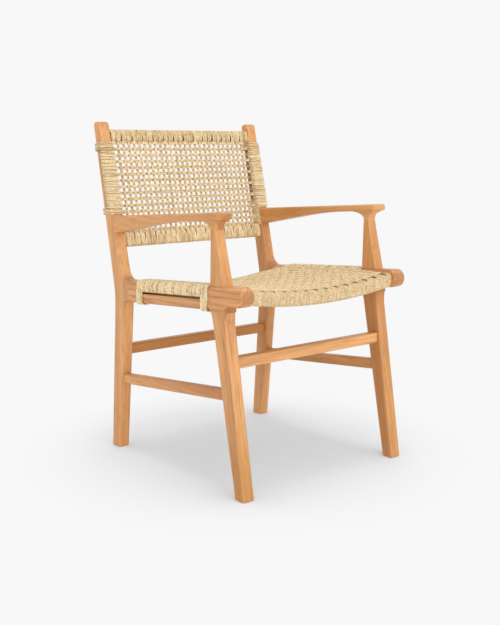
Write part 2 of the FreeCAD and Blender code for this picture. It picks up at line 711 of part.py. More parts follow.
def side_stretcher(word, side):
    """Raked bar from the front leg to the rear post, with a tenon at each end."""
    body = new_body(f"side_stretcher_{word}", side_x(side))
    half = "Sizes.stretcher_height / 2"
    rear, front = "Places.side_stretcher_rear_z", "Places.side_stretcher_front_z"
    corners = [(post_under(f"{rear} - {half}"), f"{rear} - {half}"),
               (post_under(f"{rear} + {half}"), f"{rear} + {half}"),
               (leg_rear(f"{front} + {half}"), f"{front} + {half}"),
               (leg_rear(f"{front} - {half}"), f"{front} - {half}")]
    side_slab(body, f"side_bar_{word}", corners, "Sizes.side_stretcher_thick")

    def rounded(edge):
        box = edge.BoundBox
        return box.YLength > LONG_EDGE and box.XLength < 0.01
    fillet(body, names_of(body, rounded), "Sizes.stretcher_arris")
    for end in ("front", "rear"):
        side_slab(body, f"side_bar_{word}_{end}", stretcher_tenon(end, "0"), "Sizes.tenon_thick")
    return body


# Seat rails under the cord
def dipped_band(body, name, half_span, middle_z, height, offset):
    """A band of two concentric arcs in front view, lowest in the middle."""
    sketch = body.newObject("Sketcher::SketchObject", name)
    sketch.AttachmentSupport = (plane(body, "XZ_Plane"), "")
    sketch.MapMode = "FlatFace"
    sketch.setExpression("AttachmentOffset.Base.z", offset)
    radius = "((Sizes.frame_half_width ^ 2 + Sizes.seat_dip ^ 2) / (2 * Sizes.seat_dip))"
    rough = 1500
    spread = 0.14
    down = 1.5 * math.pi
    centre = Vector(0, rough + 420, 0)
    for drop in (0, 26):
        circle = Part.Circle(centre, Vector(0, 0, 1), rough + drop)
        sketch.addGeometry(Part.ArcOfCircle(circle, down - spread, down + spread))
    for first, second in ((1, 1), (2, 2)):
        ends = [sketch.getPoint(arc, place) for arc, place in ((0, first), (1, second))]
        sketch.addGeometry(Part.LineSegment(*ends))
    constraints = [("Coincident", 2, 1, 0, 1), ("Coincident", 2, 2, 1, 1),
                   ("Coincident", 3, 1, 0, 2), ("Coincident", 3, 2, 1, 2)]
    for item in constraints:
        sketch.addConstraint(Sketcher.Constraint(*item))
    for arc, reach in ((0, radius), (1, f"{radius} + {height}")):
        held = [(("DistanceX", -1, 1, arc, 3, 0), "0"),
                (("DistanceY", -1, 1, arc, 3, centre.y), f"{middle_z} + {radius}"),
                (("Radius", arc, rough), reach),
                (("DistanceX", -1, 1, arc, 1, -200), f"-({half_span})"),
                (("DistanceX", -1, 1, arc, 2, 200), half_span)]
        for item, place in held:
            index = sketch.addConstraint(Sketcher.Constraint(*item))
            sketch.setExpression(f"Constraints[{index}]", place)
    return sketch


def seat_rail(label, y, middle_z, peg_z, width, tenon):
    """Dipped bar between the side frames with a round tenon at each end."""
    body = new_body(label)
    half = f"(Sizes.frame_half_width - ({width}) / 2)"
    front = f"-({y}) + Sizes.seat_rail_thick / 2"
    sketch = dipped_band(body, f"{label}_bar", half, middle_z, "Sizes.seat_rail_height", front)
    pad(body, sketch, "Sizes.seat_rail_thick", True)
    fillet(body, names_of(body, lambda edge: edge.BoundBox.XLength > LONG_EDGE), "Sizes.seat_rail_arris")
    rod(body, "Additive", f"{label}_tenon_one", (f"-{half} - {tenon}", y, peg_z), "x",
        f"{tenon} + {TENON_ROOT}", "Sizes.peg_radius")
    rod(body, "Additive", f"{label}_tenon_two", (f"{half} - {TENON_ROOT}", y, peg_z), "x",
        f"{tenon} + {TENON_ROOT}", "Sizes.peg_radius")
    return body


# Back rails and the sleeves of cord round them
BACK_TILT = f"atan((Sizes.post_top_y - Sizes.post_bend_y) / {POST_RUN})"
INNER_POST = "(Sizes.frame_half_width - Sizes.post_width / 2)"
INNER_RAIL = "(Sizes.frame_half_width - Sizes.rail_width / 2)"
SLEEVE_GAP = "Sizes.joint_clearance"
SLEEVE_OUT = "(Sizes.joint_clearance + Sizes.wrap_thick)"


def leaning_body(label, angle, y, z, x="0"):
    """A body turned back about X by an angle, its own origin at y and z."""
    body = new_body(label, x)
    body.Placement = FreeCAD.Placement(Vector(), FreeCAD.Rotation(Vector(1, 0, 0), -10))
    body.setExpression("Placement.Base.x", x)
    body.setExpression("Placement.Base.y", y)
    body.setExpression("Placement.Base.z", z)
    body.setExpression("Placement.Rotation.Angle", f"-({angle})")
    return body


def rectangle(low, high):
    """Corners of a rectangle from its low to its high corner, as expressions."""
    return [low, (high[0], low[1]), high, (low[0], high[1])]


def framed(half_a, half_b, grow):
    """Corners of a rectangle about the origin, grown on all sides."""
    a, b = f"({half_a} + {grow})", f"({half_b} + {grow})"
    return rectangle((f"-{a}", f"-{b}"), (a, b))


def back_rail(end):
    """Straight bar between the posts, leaning with them, a round tenon at each end."""
    z = f"Places.back_{end}_z"
    body = leaning_body(f"back_{end}_rail", BACK_TILT, post_middle(z), z)
    half_thick, half_height = "Sizes.back_rail_thick / 2", f"Sizes.back_{end}_height / 2"
    side_slab(body, f"back_{end}_bar", framed(half_thick, half_height, "0"), f"2 * {INNER_POST}")
    fillet(body, names_of(body, long_edges("X")), "Sizes.arris_radius")
    rod(body, "Additive", f"back_{end}_tenon", (f"-{INNER_POST} - Sizes.tenon_length", "0", "0"),
        "x", f"2 * ({INNER_POST} + Sizes.tenon_length)", "Sizes.peg_radius")
    wrap = leaning_body(f"back_{end}_wrap", BACK_TILT, post_middle(z), z)
    loops = [framed(half_thick, half_height, SLEEVE_OUT), framed(half_thick, half_height, SLEEVE_GAP)]
    length = f"(2 * ({INNER_POST} - {SLEEVE_GAP}))"
    pad(wrap, outline(wrap, f"back_{end}_sleeve", "YZ_Plane", loops, f"-{length} / 2"), length)
    round_outer(wrap, "X")


def round_outer(body, axis):
    """Round the outer long edges of a sleeve, not those of its bore."""
    test = long_edges(axis)
    middle = body.Tip.Shape.BoundBox.Center

    def away(edge):
        return (edge.BoundBox.Center - middle).Length
    far = max(away(edge) for edge in body.Tip.Shape.Edges if test(edge))
    fillet(body, names_of(body, lambda edge: test(edge) and away(edge) > far - 0.5),
           "Sizes.arris_radius")


# Sleeves of cord round the front bar of each slotted post
def post_wrap(word, side):
    """Cord wound round the bar in front of the post's slot."""
    body = new_body(f"back_side_wrap_{word}", side_x(side))
    for kind, grow in (("Additive", SLEEVE_OUT), ("Subtractive", SLEEVE_GAP)):
        sections = []
        for z in ("Places.back_wrap_low_z", "Places.back_wrap_high_z"):
            half = f"(Sizes.post_width / 2 + {grow})"
            near = f"({post_front(z)} - {grow})"
            far = f"({post_middle(z)} - Sizes.post_slot_width / 2 + {grow})"
            sections.append(outline(body, f"sleeve_{word}", "XY_Plane",
                                    [rectangle((f"-{half}", near), (half, far))], z))
        doc.recompute()
        loft(body, kind, sections, True)


# Sleeves of cord on the seat's rails, and the woven seat
def seat_wrap(label, y, middle_z, inner):
    """Cord wound round a dipped seat rail."""
    body = new_body(label)
    half = f"({inner} - {SLEEVE_GAP})"
    deep = f"(Sizes.seat_rail_thick + 2 * {SLEEVE_OUT})"
    sketch = dipped_band(body, f"{label}_outer", half, f"{middle_z} + {SLEEVE_OUT}",
                         f"Sizes.seat_rail_height + 2 * {SLEEVE_OUT}", f"-({y}) + {deep} / 2")
    pad(body, sketch, deep, True)
    fillet(body, names_of(body, lambda edge: edge.BoundBox.XLength > LONG_EDGE), "Sizes.seat_rail_arris")
    bore = f"(Sizes.seat_rail_thick + 2 * {SLEEVE_GAP})"
    sketch = dipped_band(body, f"{label}_bore", f"{half} + {OVERCUT}", f"{middle_z} + {SLEEVE_GAP}",
                         f"Sizes.seat_rail_height + 2 * {SLEEVE_GAP}", f"-({y}) - {bore} / 2")
    pocket(body, sketch, bore)


def seat_side_wrap(word, side):
    """Cord wound round the upper bar of the slotted side rail."""
    y = "Sizes.seat_wrap_rear_y"
    body = leaning_body(f"seat_side_wrap_{word}", "Sizes.seat_rake", y, rail_top(y), side_x(side))
    loops = []
    for grow in (SLEEVE_OUT, SLEEVE_GAP):
        half = f"(Sizes.rail_width / 2 + {grow})"
        loops.append(rectangle((f"-{half}", f"-Sizes.rail_bar_height - {grow}"), (half, grow)))
    length = f"((Places.seat_wrap_reach + {y}) / cos(Sizes.seat_rake))"
    pad(body, outline(body, f"side_sleeve_{word}", "XZ_Plane", loops), length)
    round_outer(body, "Y")


SEAT_RUN = "(Places.seat_front_reach + Sizes.seat_rear_y)"
SEAT_TILT = f"atan((Places.seat_front_top_z - Places.seat_rear_top_z) / {SEAT_RUN})"


def seat_weave():
    """The woven seat between the sleeves, dipped like the rails."""
    body = leaning_body("seat_weave", SEAT_TILT, "-Places.seat_front_reach",
                        f"Places.seat_front_top_z + {SLEEVE_OUT}")
    half = f"({INNER_RAIL} - {SLEEVE_OUT} - {SLEEVE_GAP})"
    margin = f"(Sizes.seat_rail_thick / 2 + {SLEEVE_OUT} + 2 * {SLEEVE_GAP})"
    length = f"({SEAT_RUN} / cos({SEAT_TILT}) - 2 * {margin})"
    sketch = dipped_band(body, "seat_sheet", half, "0", "Sizes.seat_weave_thick", f"-{margin}")
    pad(body, sketch, length, True)


# Forms worked out in numbers: the open net of the back and the wound end bands
gauge = doc.addObject("App::FeaturePython", "Gauge")
gauge.addProperty("App::PropertyFloat", "reading")


def number(expression):
    """The value of an expression on the sheets."""
    gauge.setExpression("reading", expression)
    doc.recompute()
    return gauge.reading


def numbers(function, levels):
    """Values of a line of the side view at two levels, as (start, rise per mm)."""
    first, second = (number(function(f"({level})")) for level in levels)
    return first, (second - first) / (number(levels[1]) - number(levels[0]))


def feature(label, shape, placement=None):
    """A document object that holds a made shape."""
    item = doc.addObject("Part::Feature", label)
    item.Label = label
    item.Shape = shape
    if placement:
        item.Placement = placement
    return item


def back_net():
    """One holed face between the back's sleeves, thickened; one gap per mesh."""
    out = number(SLEEVE_OUT) + number(SLEEVE_GAP)
    half = number(INNER_POST) - out
    tilt = number(BACK_TILT)
    lean = 1 / math.cos(math.radians(tilt))
    low = number("Sizes.back_bottom_height / 2") + out
    middle_z = number("Places.back_bottom_z")
    high = (number("Places.back_top_z") - middle_z) * lean
    high -= number("Sizes.back_top_height / 2") + out
    columns, rows = int(number("Sizes.back_net_columns")), int(number("Sizes.back_net_rows"))
    share = number("Sizes.back_net_open_share")
    wide, tall = 2 * half / columns, (high - low) / rows

    def mesh(x, z, half_x, half_z):
        """A closed rectangle about a middle point."""
        spots = [Vector(x + a * half_x, 0, z + b * half_z)
                 for a, b in ((-1, -1), (1, -1), (1, 1), (-1, 1), (-1, -1))]
        return Part.makePolygon(spots)
    wires = [mesh(0, (low + high) / 2, half, (high - low) / 2)]
    for column in range(columns):
        for row in range(rows):
            wires.append(mesh((column + 0.5) * wide - half, low + (row + 0.5) * tall,
                              share * wide / 2, share * tall / 2))
    face = Part.makeFace(wires, "Part::FaceMakerBullseye")
    thick = number("Sizes.back_net_thick")
    face.translate(Vector(0, -number("Sizes.back_net_forward") - thick / 2, 0))
    base = Vector(0, number(post_middle("Places.back_bottom_z")), middle_z)
    turn = FreeCAD.Rotation(Vector(1, 0, 0), -tilt)
    feature("back_weave", face.extrude(Vector(0, thick, 0)), FreeCAD.Placement(base, turn))
    print("back net gaps", columns * rows)


def arc_between(start, corner, end):
    """The arc that leaves start toward a corner and reaches end from it."""
    chord = (start + end) / 2
    half = (end - start).Length / 2
    reach = (corner - chord).Length
    radius = half * (corner - start).Length / reach
    rise = radius - math.sqrt(max(radius ** 2 - half ** 2, 0))
    return Part.Arc(start, chord + (corner - chord) / reach * rise, end).toShape()


def biarc(start, way_in, end, way_out):
    """Two arcs from start to end with given directions."""
    span = end - start
    both = way_in + way_out
    bend = 2 * (1 - way_in.dot(way_out))
    along = span.dot(both)
    grip = (math.sqrt(along ** 2 + bend * span.dot(span)) - along) / bend
    near, far = start + way_in * grip, end - way_out * grip
    middle = (near + far) / 2
    return [arc_between(start, near, middle), arc_between(middle, far, end)]


# Share of a quarter turn that the cord takes on each side of a corner
CORNER_SHARE = 0.14


def winding(label, place, bounds, start, turns):
    """A cord wound round a piece: straight runs joined by biarcs at the corners.

    bounds(u) gives the piece's low and high edges a and b at the advance u, and
    place(a, b, u) the point in space. The turns advance by the cord's pitch.
    """
    thick = number("Sizes.cord_thick")
    off = thick / 2 + number("Sizes.joint_clearance")
    turn_radius = number("Sizes.arris_radius") + off
    pitch = number("Sizes.cord_pitch")
    corners = ((1, -1), (1, 1), (-1, 1), (-1, -1))
    entries, exits = [], []
    for count in range(4 * turns + 1):
        sign_a, sign_b = corners[count % 4]
        for spots, quarter in ((entries, count - CORNER_SHARE), (exits, count + CORNER_SHARE)):
            u = start + pitch * (quarter + 0.5) / 4
            low_a, high_a, low_b, high_b = bounds(u)
            a = high_a + off if sign_a > 0 else low_a - off
            b = high_b + off if sign_b > 0 else low_b - off
            upward = (count % 2 == 0) == (spots is exits)
            if upward:
                b -= sign_b * turn_radius
            else:
                a -= sign_a * turn_radius
            spots.append(place(a, b, u))
    edges = []
    for count in range(4 * turns):
        run = entries[count + 1] - exits[count]
        edges.append(Part.makeLine(exits[count], entries[count + 1]))
        if count < 4 * turns - 1:
            following = entries[count + 2] - exits[count + 1]
            edges += biarc(entries[count + 1], run.normalize(),
                           exits[count + 1], following.normalize())
    path = Part.Wire(edges)
    way = (entries[1] - exits[0]).normalize()
    section = Part.Wire(Part.makeCircle(thick / 2, exits[0], way))
    solid = path.makePipeShell([section], True, False)
    feature(label, solid)
    print(label, "turns", turns, "least gap", round(least_gap(path, thick), 2))


def least_gap(path, thick):
    """Least space between turns, measured on points along the path."""
    spots = []
    for edge in path.OrderedEdges:
        spots += edge.discretize(Distance=2.0)[:-1]
    nearest = 1e9
    for k, spot in enumerate(spots):
        for other in spots[k + 12:k + 140]:
            nearest = min(nearest, (spot - other).Length)
    return nearest - thick


def post_bands(word, side):
    """Cord wound round the whole post at both ends of its slot."""
    levels = ("Places.back_wrap_low_z", "Places.back_wrap_high_z")
    front, front_rise = numbers(post_front, levels)
    middle, middle_rise = numbers(post_middle, levels)
    base = number(levels[0])
    half = number("Sizes.post_width / 2")
    x = number(side_x(side))
    turns = int(number("Sizes.back_band_turns"))
    length = number("Sizes.cord_pitch") * turns + number("Sizes.cord_thick")

    def bounds(z):
        low = front + front_rise * (z - base)
        centre = middle + middle_rise * (z - base)
        return x - half, x + half, low, 2 * centre - low
    for end, start in (("lower", base - length), ("upper", number(f"{levels[1]} + Sizes.band_gap"))):
        winding(f"back_band_{end}_{word}", lambda a, b, u: Vector(a, b, u), bounds, start, turns)


def rail_bands(word, side):
    """Cord wound round the whole side rail at both ends of its slot."""
    x = number(side_x(side))
    half = number("Sizes.rail_width / 2")
    height = number("Sizes.rail_height")
    slope = number(SLOPE)
    top = number("Places.rail_top_z")
    turns = int(number("Sizes.seat_band_turns"))
    length = number("Sizes.cord_pitch") * turns + number("Sizes.cord_thick")

    def bounds(y):
        roof = top - slope * y
        return x - half, x + half, roof - height, roof
    front = -number("Places.seat_wrap_reach") - length
    for end, start in (("front", front), ("rear", number("Sizes.seat_wrap_rear_y + Sizes.band_gap"))):
        winding(f"seat_band_{end}_{word}", lambda a, b, u: Vector(a, u, b), bounds, start, turns)


# Dowels
def dowels(label, spots, axis):
    """A group of like dowels, each from a start point along an axis."""
    turn = {"y": (Vector(1, 0, 0), -90), "z": (Vector(0, 0, 1), 0)}
    pins = []
    for spot in spots:
        pin = doc.addObject("Part::Cylinder", f"{label}_pin")
        pin.Placement = FreeCAD.Placement(Vector(), FreeCAD.Rotation(*turn[axis]))
        pin.setExpression("Radius", "Sizes.dowel_radius")
        pin.setExpression("Height", "Sizes.dowel_length - 2 * Sizes.joint_clearance")
        for place, value in zip("xyz", spot):
            pin.setExpression(f"Placement.Base.{place}", value)
        pins.append(pin)
    group = doc.addObject("Part::Compound", label)
    group.Label = label
    group.Links = pins


for word, side in SIDES.items():
    rear_post(word, side)
    front_leg(word, side)
    side_rail(word, side)
    armrest(word, side)
    arm_post(word, side)
    side_stretcher(word, side)
cross_stretcher("front_stretcher", leg_middle("Places.front_stretcher_z"),
                "Places.front_stretcher_z", "Sizes.leg_width")
cross_stretcher("rear_stretcher", post_lower_middle("Places.rear_stretcher_z"),
                "Places.rear_stretcher_z", "Sizes.post_width")
seat_rail("seat_front_rail", "(-Places.seat_front_reach)", "Places.seat_front_top_z",
          SEAT_FRONT_PEG_Z, "Sizes.rail_width", "Sizes.tenon_length")
seat_rail("seat_rear_rail", "Sizes.seat_rear_y", "Places.seat_rear_top_z",
          SEAT_REAR_PEG_Z, "Sizes.post_width", "Sizes.tenon_short_length")

for end in ("top", "bottom"):
    back_rail(end)
seat_wrap("seat_front_wrap", "(-Places.seat_front_reach)", "Places.seat_front_top_z", INNER_RAIL)
seat_wrap("seat_rear_wrap", "Sizes.seat_rear_y", "Places.seat_rear_top_z", INNER_POST)
seat_weave()
back_net()
for word, side in SIDES.items():
    post_wrap(word, side)
    seat_side_wrap(word, side)
    post_bands(word, side)
    rail_bands(word, side)
LOW_START = f"{DOWEL_HALF} - Sizes.joint_clearance"
for label, z in (("arm_foot_dowels", rail_top(ARM_POST_Y)), ("arm_head_dowels", ARM_JOINT_Z)):
    dowels(label, [(side_x(side), ARM_POST_Y, f"{z} - ({LOW_START})") for side in SIDES.values()],
           "z")
dowels("arm_end_dowels", [(side_x(side), f"{post_front(level)} - ({LOW_START})", level)
                          for side in SIDES.values() for level in ARM_DOWEL_LEVELS], "y")
doc.removeObject("Gauge")

# Checks and export
doc.recompute()
for item in doc.Objects:
    if "Invalid" in item.State or "Error" in item.State:
        raise RuntimeError(f"{item.Name} has state {item.State}")
os.makedirs("parts", exist_ok=True)
NODE_TYPES = ("PartDesign::Body", "Part::Feature", "Part::Compound")
NODES = [item for item in doc.Objects if item.TypeId in NODE_TYPES]
for node in NODES:
    if node.Shape.isNull() or not node.Shape.isValid():
        raise RuntimeError(f"{node.Label} has no valid shape")
    node.Shape.exportStep(f"parts/{node.Label}.step")
    print(node.Label, len(node.Shape.Solids), round(node.Shape.Volume / 1000, 2), "cm3")
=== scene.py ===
import math

import bpy
import numpy as np
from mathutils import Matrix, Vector


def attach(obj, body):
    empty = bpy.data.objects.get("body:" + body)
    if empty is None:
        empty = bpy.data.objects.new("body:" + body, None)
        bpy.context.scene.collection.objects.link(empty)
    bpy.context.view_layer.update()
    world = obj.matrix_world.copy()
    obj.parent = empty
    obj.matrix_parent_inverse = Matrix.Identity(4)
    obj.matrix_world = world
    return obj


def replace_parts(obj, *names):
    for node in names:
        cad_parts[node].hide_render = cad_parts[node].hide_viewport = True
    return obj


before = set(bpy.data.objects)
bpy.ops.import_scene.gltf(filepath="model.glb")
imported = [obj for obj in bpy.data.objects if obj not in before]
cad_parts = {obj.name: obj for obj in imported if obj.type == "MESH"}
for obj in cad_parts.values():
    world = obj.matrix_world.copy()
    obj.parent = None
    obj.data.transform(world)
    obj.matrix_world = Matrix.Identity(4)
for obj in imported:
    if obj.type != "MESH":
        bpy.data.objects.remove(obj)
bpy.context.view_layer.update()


# Rear posts.
# Each is one length of solid teak, sawn to its bend, slotted in its upper half and rounded by hand.
# The oiled wood is honey brown, with darker growth lines and fine open pores along the grain.
def add_node(tree, kind, inputs, **settings):
    """One shader node; each input is a plain value or the socket that feeds it."""
    node = tree.nodes.new(kind)
    for key, value in settings.items():
        setattr(node, key, value)
    for key, value in inputs.items():
        if isinstance(value, bpy.types.NodeSocket):
            tree.links.new(value, node.inputs[key])
        else:
            node.inputs[key].default_value = value
    return node


def blend_colours(tree, share, first, second):
    """Colour that goes from first to second as share goes from 0 to 1."""
    mix = add_node(tree, "ShaderNodeMix", {"Factor": share}, data_type="RGBA")
    for key, value in (("A", first), ("B", second)):
        socket = [s for s in mix.inputs if s.name == key and s.type == "RGBA"][0]
        if isinstance(value, bpy.types.NodeSocket):
            tree.links.new(value, socket)
        else:
            socket.default_value = value
    return [s for s in mix.outputs if s.type == "RGBA"][0]


def spread(tree, value, low, high):
    """The part of a value between low and high, stretched to 0..1 with soft ends."""
    return add_node(tree, "ShaderNodeMapRange", {"Value": value, "From Min": low, "From Max": high},
                    interpolation_type="SMOOTHSTEP").outputs["Result"]


def combine(tree, operation, *values):
    """Result of one sum, product or other operation on values."""
    return add_node(tree, "ShaderNodeMath", dict(enumerate(values)), operation=operation).outputs[0]


def spot_on_piece(tree):
    """Place on the piece, in metres."""
    return add_node(tree, "ShaderNodeTexCoord", {}).outputs["Object"]


def stretched(tree, place, scale):
    """Place with its three axes scaled, which draws a pattern out where the scale is small."""
    return add_node(tree, "ShaderNodeMapping", {"Vector": place, "Scale": scale}).outputs[0]


def noise(tree, place, scale, detail, rough=0.5):
    """Cloudy noise about 0.5, with scale patches to a metre."""
    return add_node(tree, "ShaderNodeTexNoise", {"Vector": place, "Scale": scale, "Detail": detail,
                                                 "Roughness": rough}).outputs["Fac"]


def new_material(name):
    """A material with one shader, its node tree and that shader."""
    material = bpy.data.materials.new(name)
    material.use_nodes = True
    return material, material.node_tree, material.node_tree.nodes["Principled BSDF"]


GRAIN_TURN = {"X": (0, math.pi / 2, 0), "Y": (math.pi / 2, 0, 0), "Z": (0, 0, 0)}
GRAIN_WAY = {"X": (1, 0, 0), "Y": (0, 1, 0), "Z": (0, 0, 1)}
TEAK_LIGHT = (0.78, 0.37, 0.12, 1)
TEAK_MIDDLE = (0.55, 0.22, 0.058, 1)
TEAK_DARK = (0.36, 0.125, 0.035, 1)
TEAK_PALE_AND_LIT = (0.9, 0.5, 0.2, 1)
TEAK_RICH_AND_SHADED = (0.42, 0.15, 0.01, 1)
TEAK_SHADE = (0.24, 0.1, 0.03, 1)
DRAWN_OUT = (1, 1, 0.05)
PORES_DRAWN_OUT = (1, 1, 0.025)
PATCH_RANGE = (0.34, 0.66)
LINE_RANGE = (0.55, 1.0)
STREAK_RANGE = (0.49, 0.66)
PORE_RANGE = (0.6, 0.74)
PORE_DARK = 0.7
END_GRAIN_RANGE = (0.6, 0.95)
END_GRAIN_DARK = 0.62
FOOT_HEIGHTS = (0.26, 0.05)
FORE_DEPTHS = (0.12, -0.12)


def board_tone_and_light(share):
    """The tone that a share stands for: a rich brown that is partly painted shade, and where the share is
    negative a pale one that is partly painted light.
    """
    return TEAK_RICH_AND_SHADED if share > 0 else TEAK_PALE_AND_LIT


def teak(name, grain, shift, lean=0, figure=0.18, streak=0.55, deep=0, foot=0, fore=0, hidden=None):
    """Teak with its grain along one axis, shifted so that no two boards look alike.

    The grain leans from the axis by an angle in the plane of Y and Z. Growth lines are bands
    across the grain, bent by noise and drawn out along it; figure says how dark they are, and
    streak how dark the fine streaks between them are.
    Broad noise gives lighter and darker patches, and very long fine noise gives the pores.
    Where the surface faces along the grain it is end grain, which soaks up oil and is darker.
    Three shares blend in a rich brown, or a pale tone where a share is negative: one over the whole board,
    one near the floor and one toward the front. They are partly the board's own tone and partly painted
    shade and painted light, darker where a board lies in shade and paler where it is lit.
    A last function may give the share of the surface that the cord hides, where a dark brown is painted on
    as shade.
    """
    material, tree, shader = new_material(name)
    spot = spot_on_piece(tree)
    turn = GRAIN_TURN[grain]
    place = add_node(tree, "ShaderNodeMapping",
                     {"Vector": spot, "Rotation": (turn[0] + lean, turn[1], turn[2]),
                      "Location": shift}).outputs[0]
    drawn = stretched(tree, place, DRAWN_OUT)
    lines = add_node(tree, "ShaderNodeTexWave",
                     {"Vector": drawn, "Scale": 42, "Distortion": 3, "Detail": 3, "Detail Scale": 1.4},
                     bands_direction="DIAGONAL").outputs["Fac"]
    patches = noise(tree, drawn, scale=24, detail=3)
    streaks = noise(tree, drawn, scale=250, detail=4, rough=0.6)
    pores = noise(tree, stretched(tree, place, PORES_DRAWN_OUT), scale=900, detail=2)
    pores = spread(tree, pores, *PORE_RANGE)
    facing = add_node(tree, "ShaderNodeNewGeometry", {}).outputs["Normal"]
    facing = add_node(tree, "ShaderNodeVectorMath", {0: facing, 1: GRAIN_WAY[grain]},
                      operation="DOT_PRODUCT").outputs["Value"]
    facing = combine(tree, "ABSOLUTE", facing)
    colour = blend_colours(tree, spread(tree, patches, *PATCH_RANGE), TEAK_MIDDLE, TEAK_LIGHT)
    for mark, dark in ((spread(tree, lines, *LINE_RANGE), figure),
                       (spread(tree, streaks, *STREAK_RANGE), streak),
                       (pores, PORE_DARK),
                       (spread(tree, facing, *END_GRAIN_RANGE), END_GRAIN_DARK)):
        colour = blend_colours(tree, combine(tree, "MULTIPLY", mark, dark), colour, TEAK_DARK)
    # Painted shade and painted light: a rich brown where the board lies in shade and a pale tone where it
    # is lit, over the whole board, near its foot and toward its front.
    if deep:
        colour = blend_colours(tree, abs(deep), colour, board_tone_and_light(deep))
    for axis, share, reach in (("Z", foot, FOOT_HEIGHTS), ("Y", fore, FORE_DEPTHS)):
        if share:
            along = add_node(tree, "ShaderNodeSeparateXYZ", {"Vector": spot}).outputs[axis]
            near_end = combine(tree, "MULTIPLY", spread(tree, along, *reach), abs(share))
            colour = blend_colours(tree, near_end, colour, board_tone_and_light(share))
    # Painted shade on the surface beside the cord.
    if hidden:
        colour = blend_colours(tree, hidden(tree), colour, TEAK_SHADE)
    tree.links.new(colour, shader.inputs["Base Color"])
    gloss = add_node(tree, "ShaderNodeMapRange",
                     {"Value": streaks, "From Min": 0.3, "From Max": 0.7, "To Min": 0.36, "To Max": 0.5})
    tree.links.new(gloss.outputs["Result"], shader.inputs["Roughness"])
    bump = add_node(tree, "ShaderNodeBump", {"Height": pores, "Strength": 0.25, "Distance": 0.0004},
                    invert=True)
    tree.links.new(bump.outputs[0], shader.inputs["Normal"])
    shader.inputs["Specular IOR Level"].default_value = 0.5
    shader.inputs["Coat Weight"].default_value = 0.3
    shader.inputs["Coat Roughness"].default_value = 0.25
    return material


def finish_node(name, material):
    """Puts a finish on a solid of the frame that keeps its shape."""
    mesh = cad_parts[name].data
    mesh.materials.clear()
    mesh.materials.append(material)


def board(name, grain, shift, **looks):
    """Gives a solid of the frame a teak of its own."""
    finish_node(name, teak(f"teak_{name}", grain, shift, **looks))


POST_GRAIN_LEAN = -0.03
POST_INNER_X = 0.22
INNER_FACE = (POST_INNER_X + 0.003, POST_INNER_X + 0.001)
CORDED_LOW_Z = 0.592
CORDED_HIGH_Z = 0.772
CORDED_FADE = 0.008


def beside_panel(tree):
    """1 on the post's inner face between the ends of its cord, where painted shade darkens it, 0 elsewhere.
    """
    parts = add_node(tree, "ShaderNodeSeparateXYZ", {"Vector": spot_on_piece(tree)})
    share = spread(tree, combine(tree, "ABSOLUTE", parts.outputs["X"]), *INNER_FACE)
    for edge, fade in ((CORDED_LOW_Z, CORDED_FADE), (CORDED_HIGH_Z, -CORDED_FADE)):
        inside = spread(tree, parts.outputs["Z"], edge - fade, edge + fade)
        share = combine(tree, "MULTIPLY", share, inside)
    return share


# Painted light makes the left post a little paler and painted shade makes the right one darker, with
# painted light paler near its foot; on both, painted shade darkens the inner face beside the panel.
board("rear_post_left", "Z", (0.3, 0.1, 0.2), lean=POST_GRAIN_LEAN, deep=-0.12, hidden=beside_panel)
board("rear_post_right", "Z", (1.7, 0.6, 1.1), lean=POST_GRAIN_LEAN, deep=0.2, foot=-0.2,
      hidden=beside_panel)

# Front legs.
# Solid teak, splayed forward, narrow at the foot and widening to a tenon in the side rail.
SPLAY = math.radians(10.4)
# Painted light makes the left leg a little paler and painted shade makes the right leg darker; the left leg
# is also darker toward the floor.
board("front_leg_left", "Z", (2.9, 1.3, 0.4), lean=SPLAY, streak=0.85, deep=-0.12, foot=0.55)
board("front_leg_right", "Z", (4.2, 2.2, 0.7), lean=SPLAY, deep=0.32)

# Side seat rails.
# Teak boards on edge with a long slot below the upper bar, ending in a rounded knob before the leg.
# The rear end is tenoned into the post, the leg into the block under the knob.
RAKE_ANGLE = math.radians(4)
board("side_rail_left", "Y", (0.9, 3.1, 1.6), lean=RAKE_ANGLE, figure=0.45, streak=0.6)
board("side_rail_right", "Y", (5.3, 0.2, 2.7), lean=RAKE_ANGLE, figure=0.45, streak=0.6)

# Stretchers.
# Four square teak bars with eased edges, tenoned into the legs and posts, the side ones raked.
# Painted light makes the front stretcher paler; painted shade under the seat makes the side stretchers
# darker and the rear one darkest.
board("front_stretcher", "X", (0.4, 1.9, 3.3), deep=-0.2)
board("rear_stretcher", "X", (1.2, 4.4, 0.5), deep=0.75)
board("side_stretcher_left", "Y", (3.7, 0.8, 2.1), deep=0.08)
board("side_stretcher_right", "Y", (2.3, 5.6, 1.4), deep=0.45)

# Rails under the cord.
# Plain bars that carry the cord work of the seat and the back, dipped in the seat.
# They show only in the gaps of the cord, and their dark brown is painted shade for those gaps.
SHADE_WOOD_LIGHT = (0.24, 0.13, 0.055, 1)
SHADE_WOOD_DARK = (0.14, 0.07, 0.03, 1)


def painted_shade_wood():
    """Dark brown wood, its darkness painted shade, streaked along X by drawn-out noise."""
    material, tree, shader = new_material("painted_shade_wood")
    streaks = noise(tree, stretched(tree, spot_on_piece(tree), (0.05, 1, 1)), scale=200, detail=3)
    tree.links.new(blend_colours(tree, streaks, SHADE_WOOD_LIGHT, SHADE_WOOD_DARK), shader.inputs["Base Color"])
    shader.inputs["Roughness"].default_value = 0.85
    return material


shade_bar = painted_shade_wood()
for name in ("seat_front_rail", "seat_rear_rail", "back_top_rail", "back_bottom_rail"):
    finish_node(name, shade_bar)

# Armrests and arm posts.
# Sculpted teak: the armrest is deep at the post, thin in the middle and flares down to its post.
# The arm post stands on the side rail and is dowelled at both ends. The grain is plain and even.
PLAIN_GRAIN = {"figure": 0.1, "streak": 0.3}
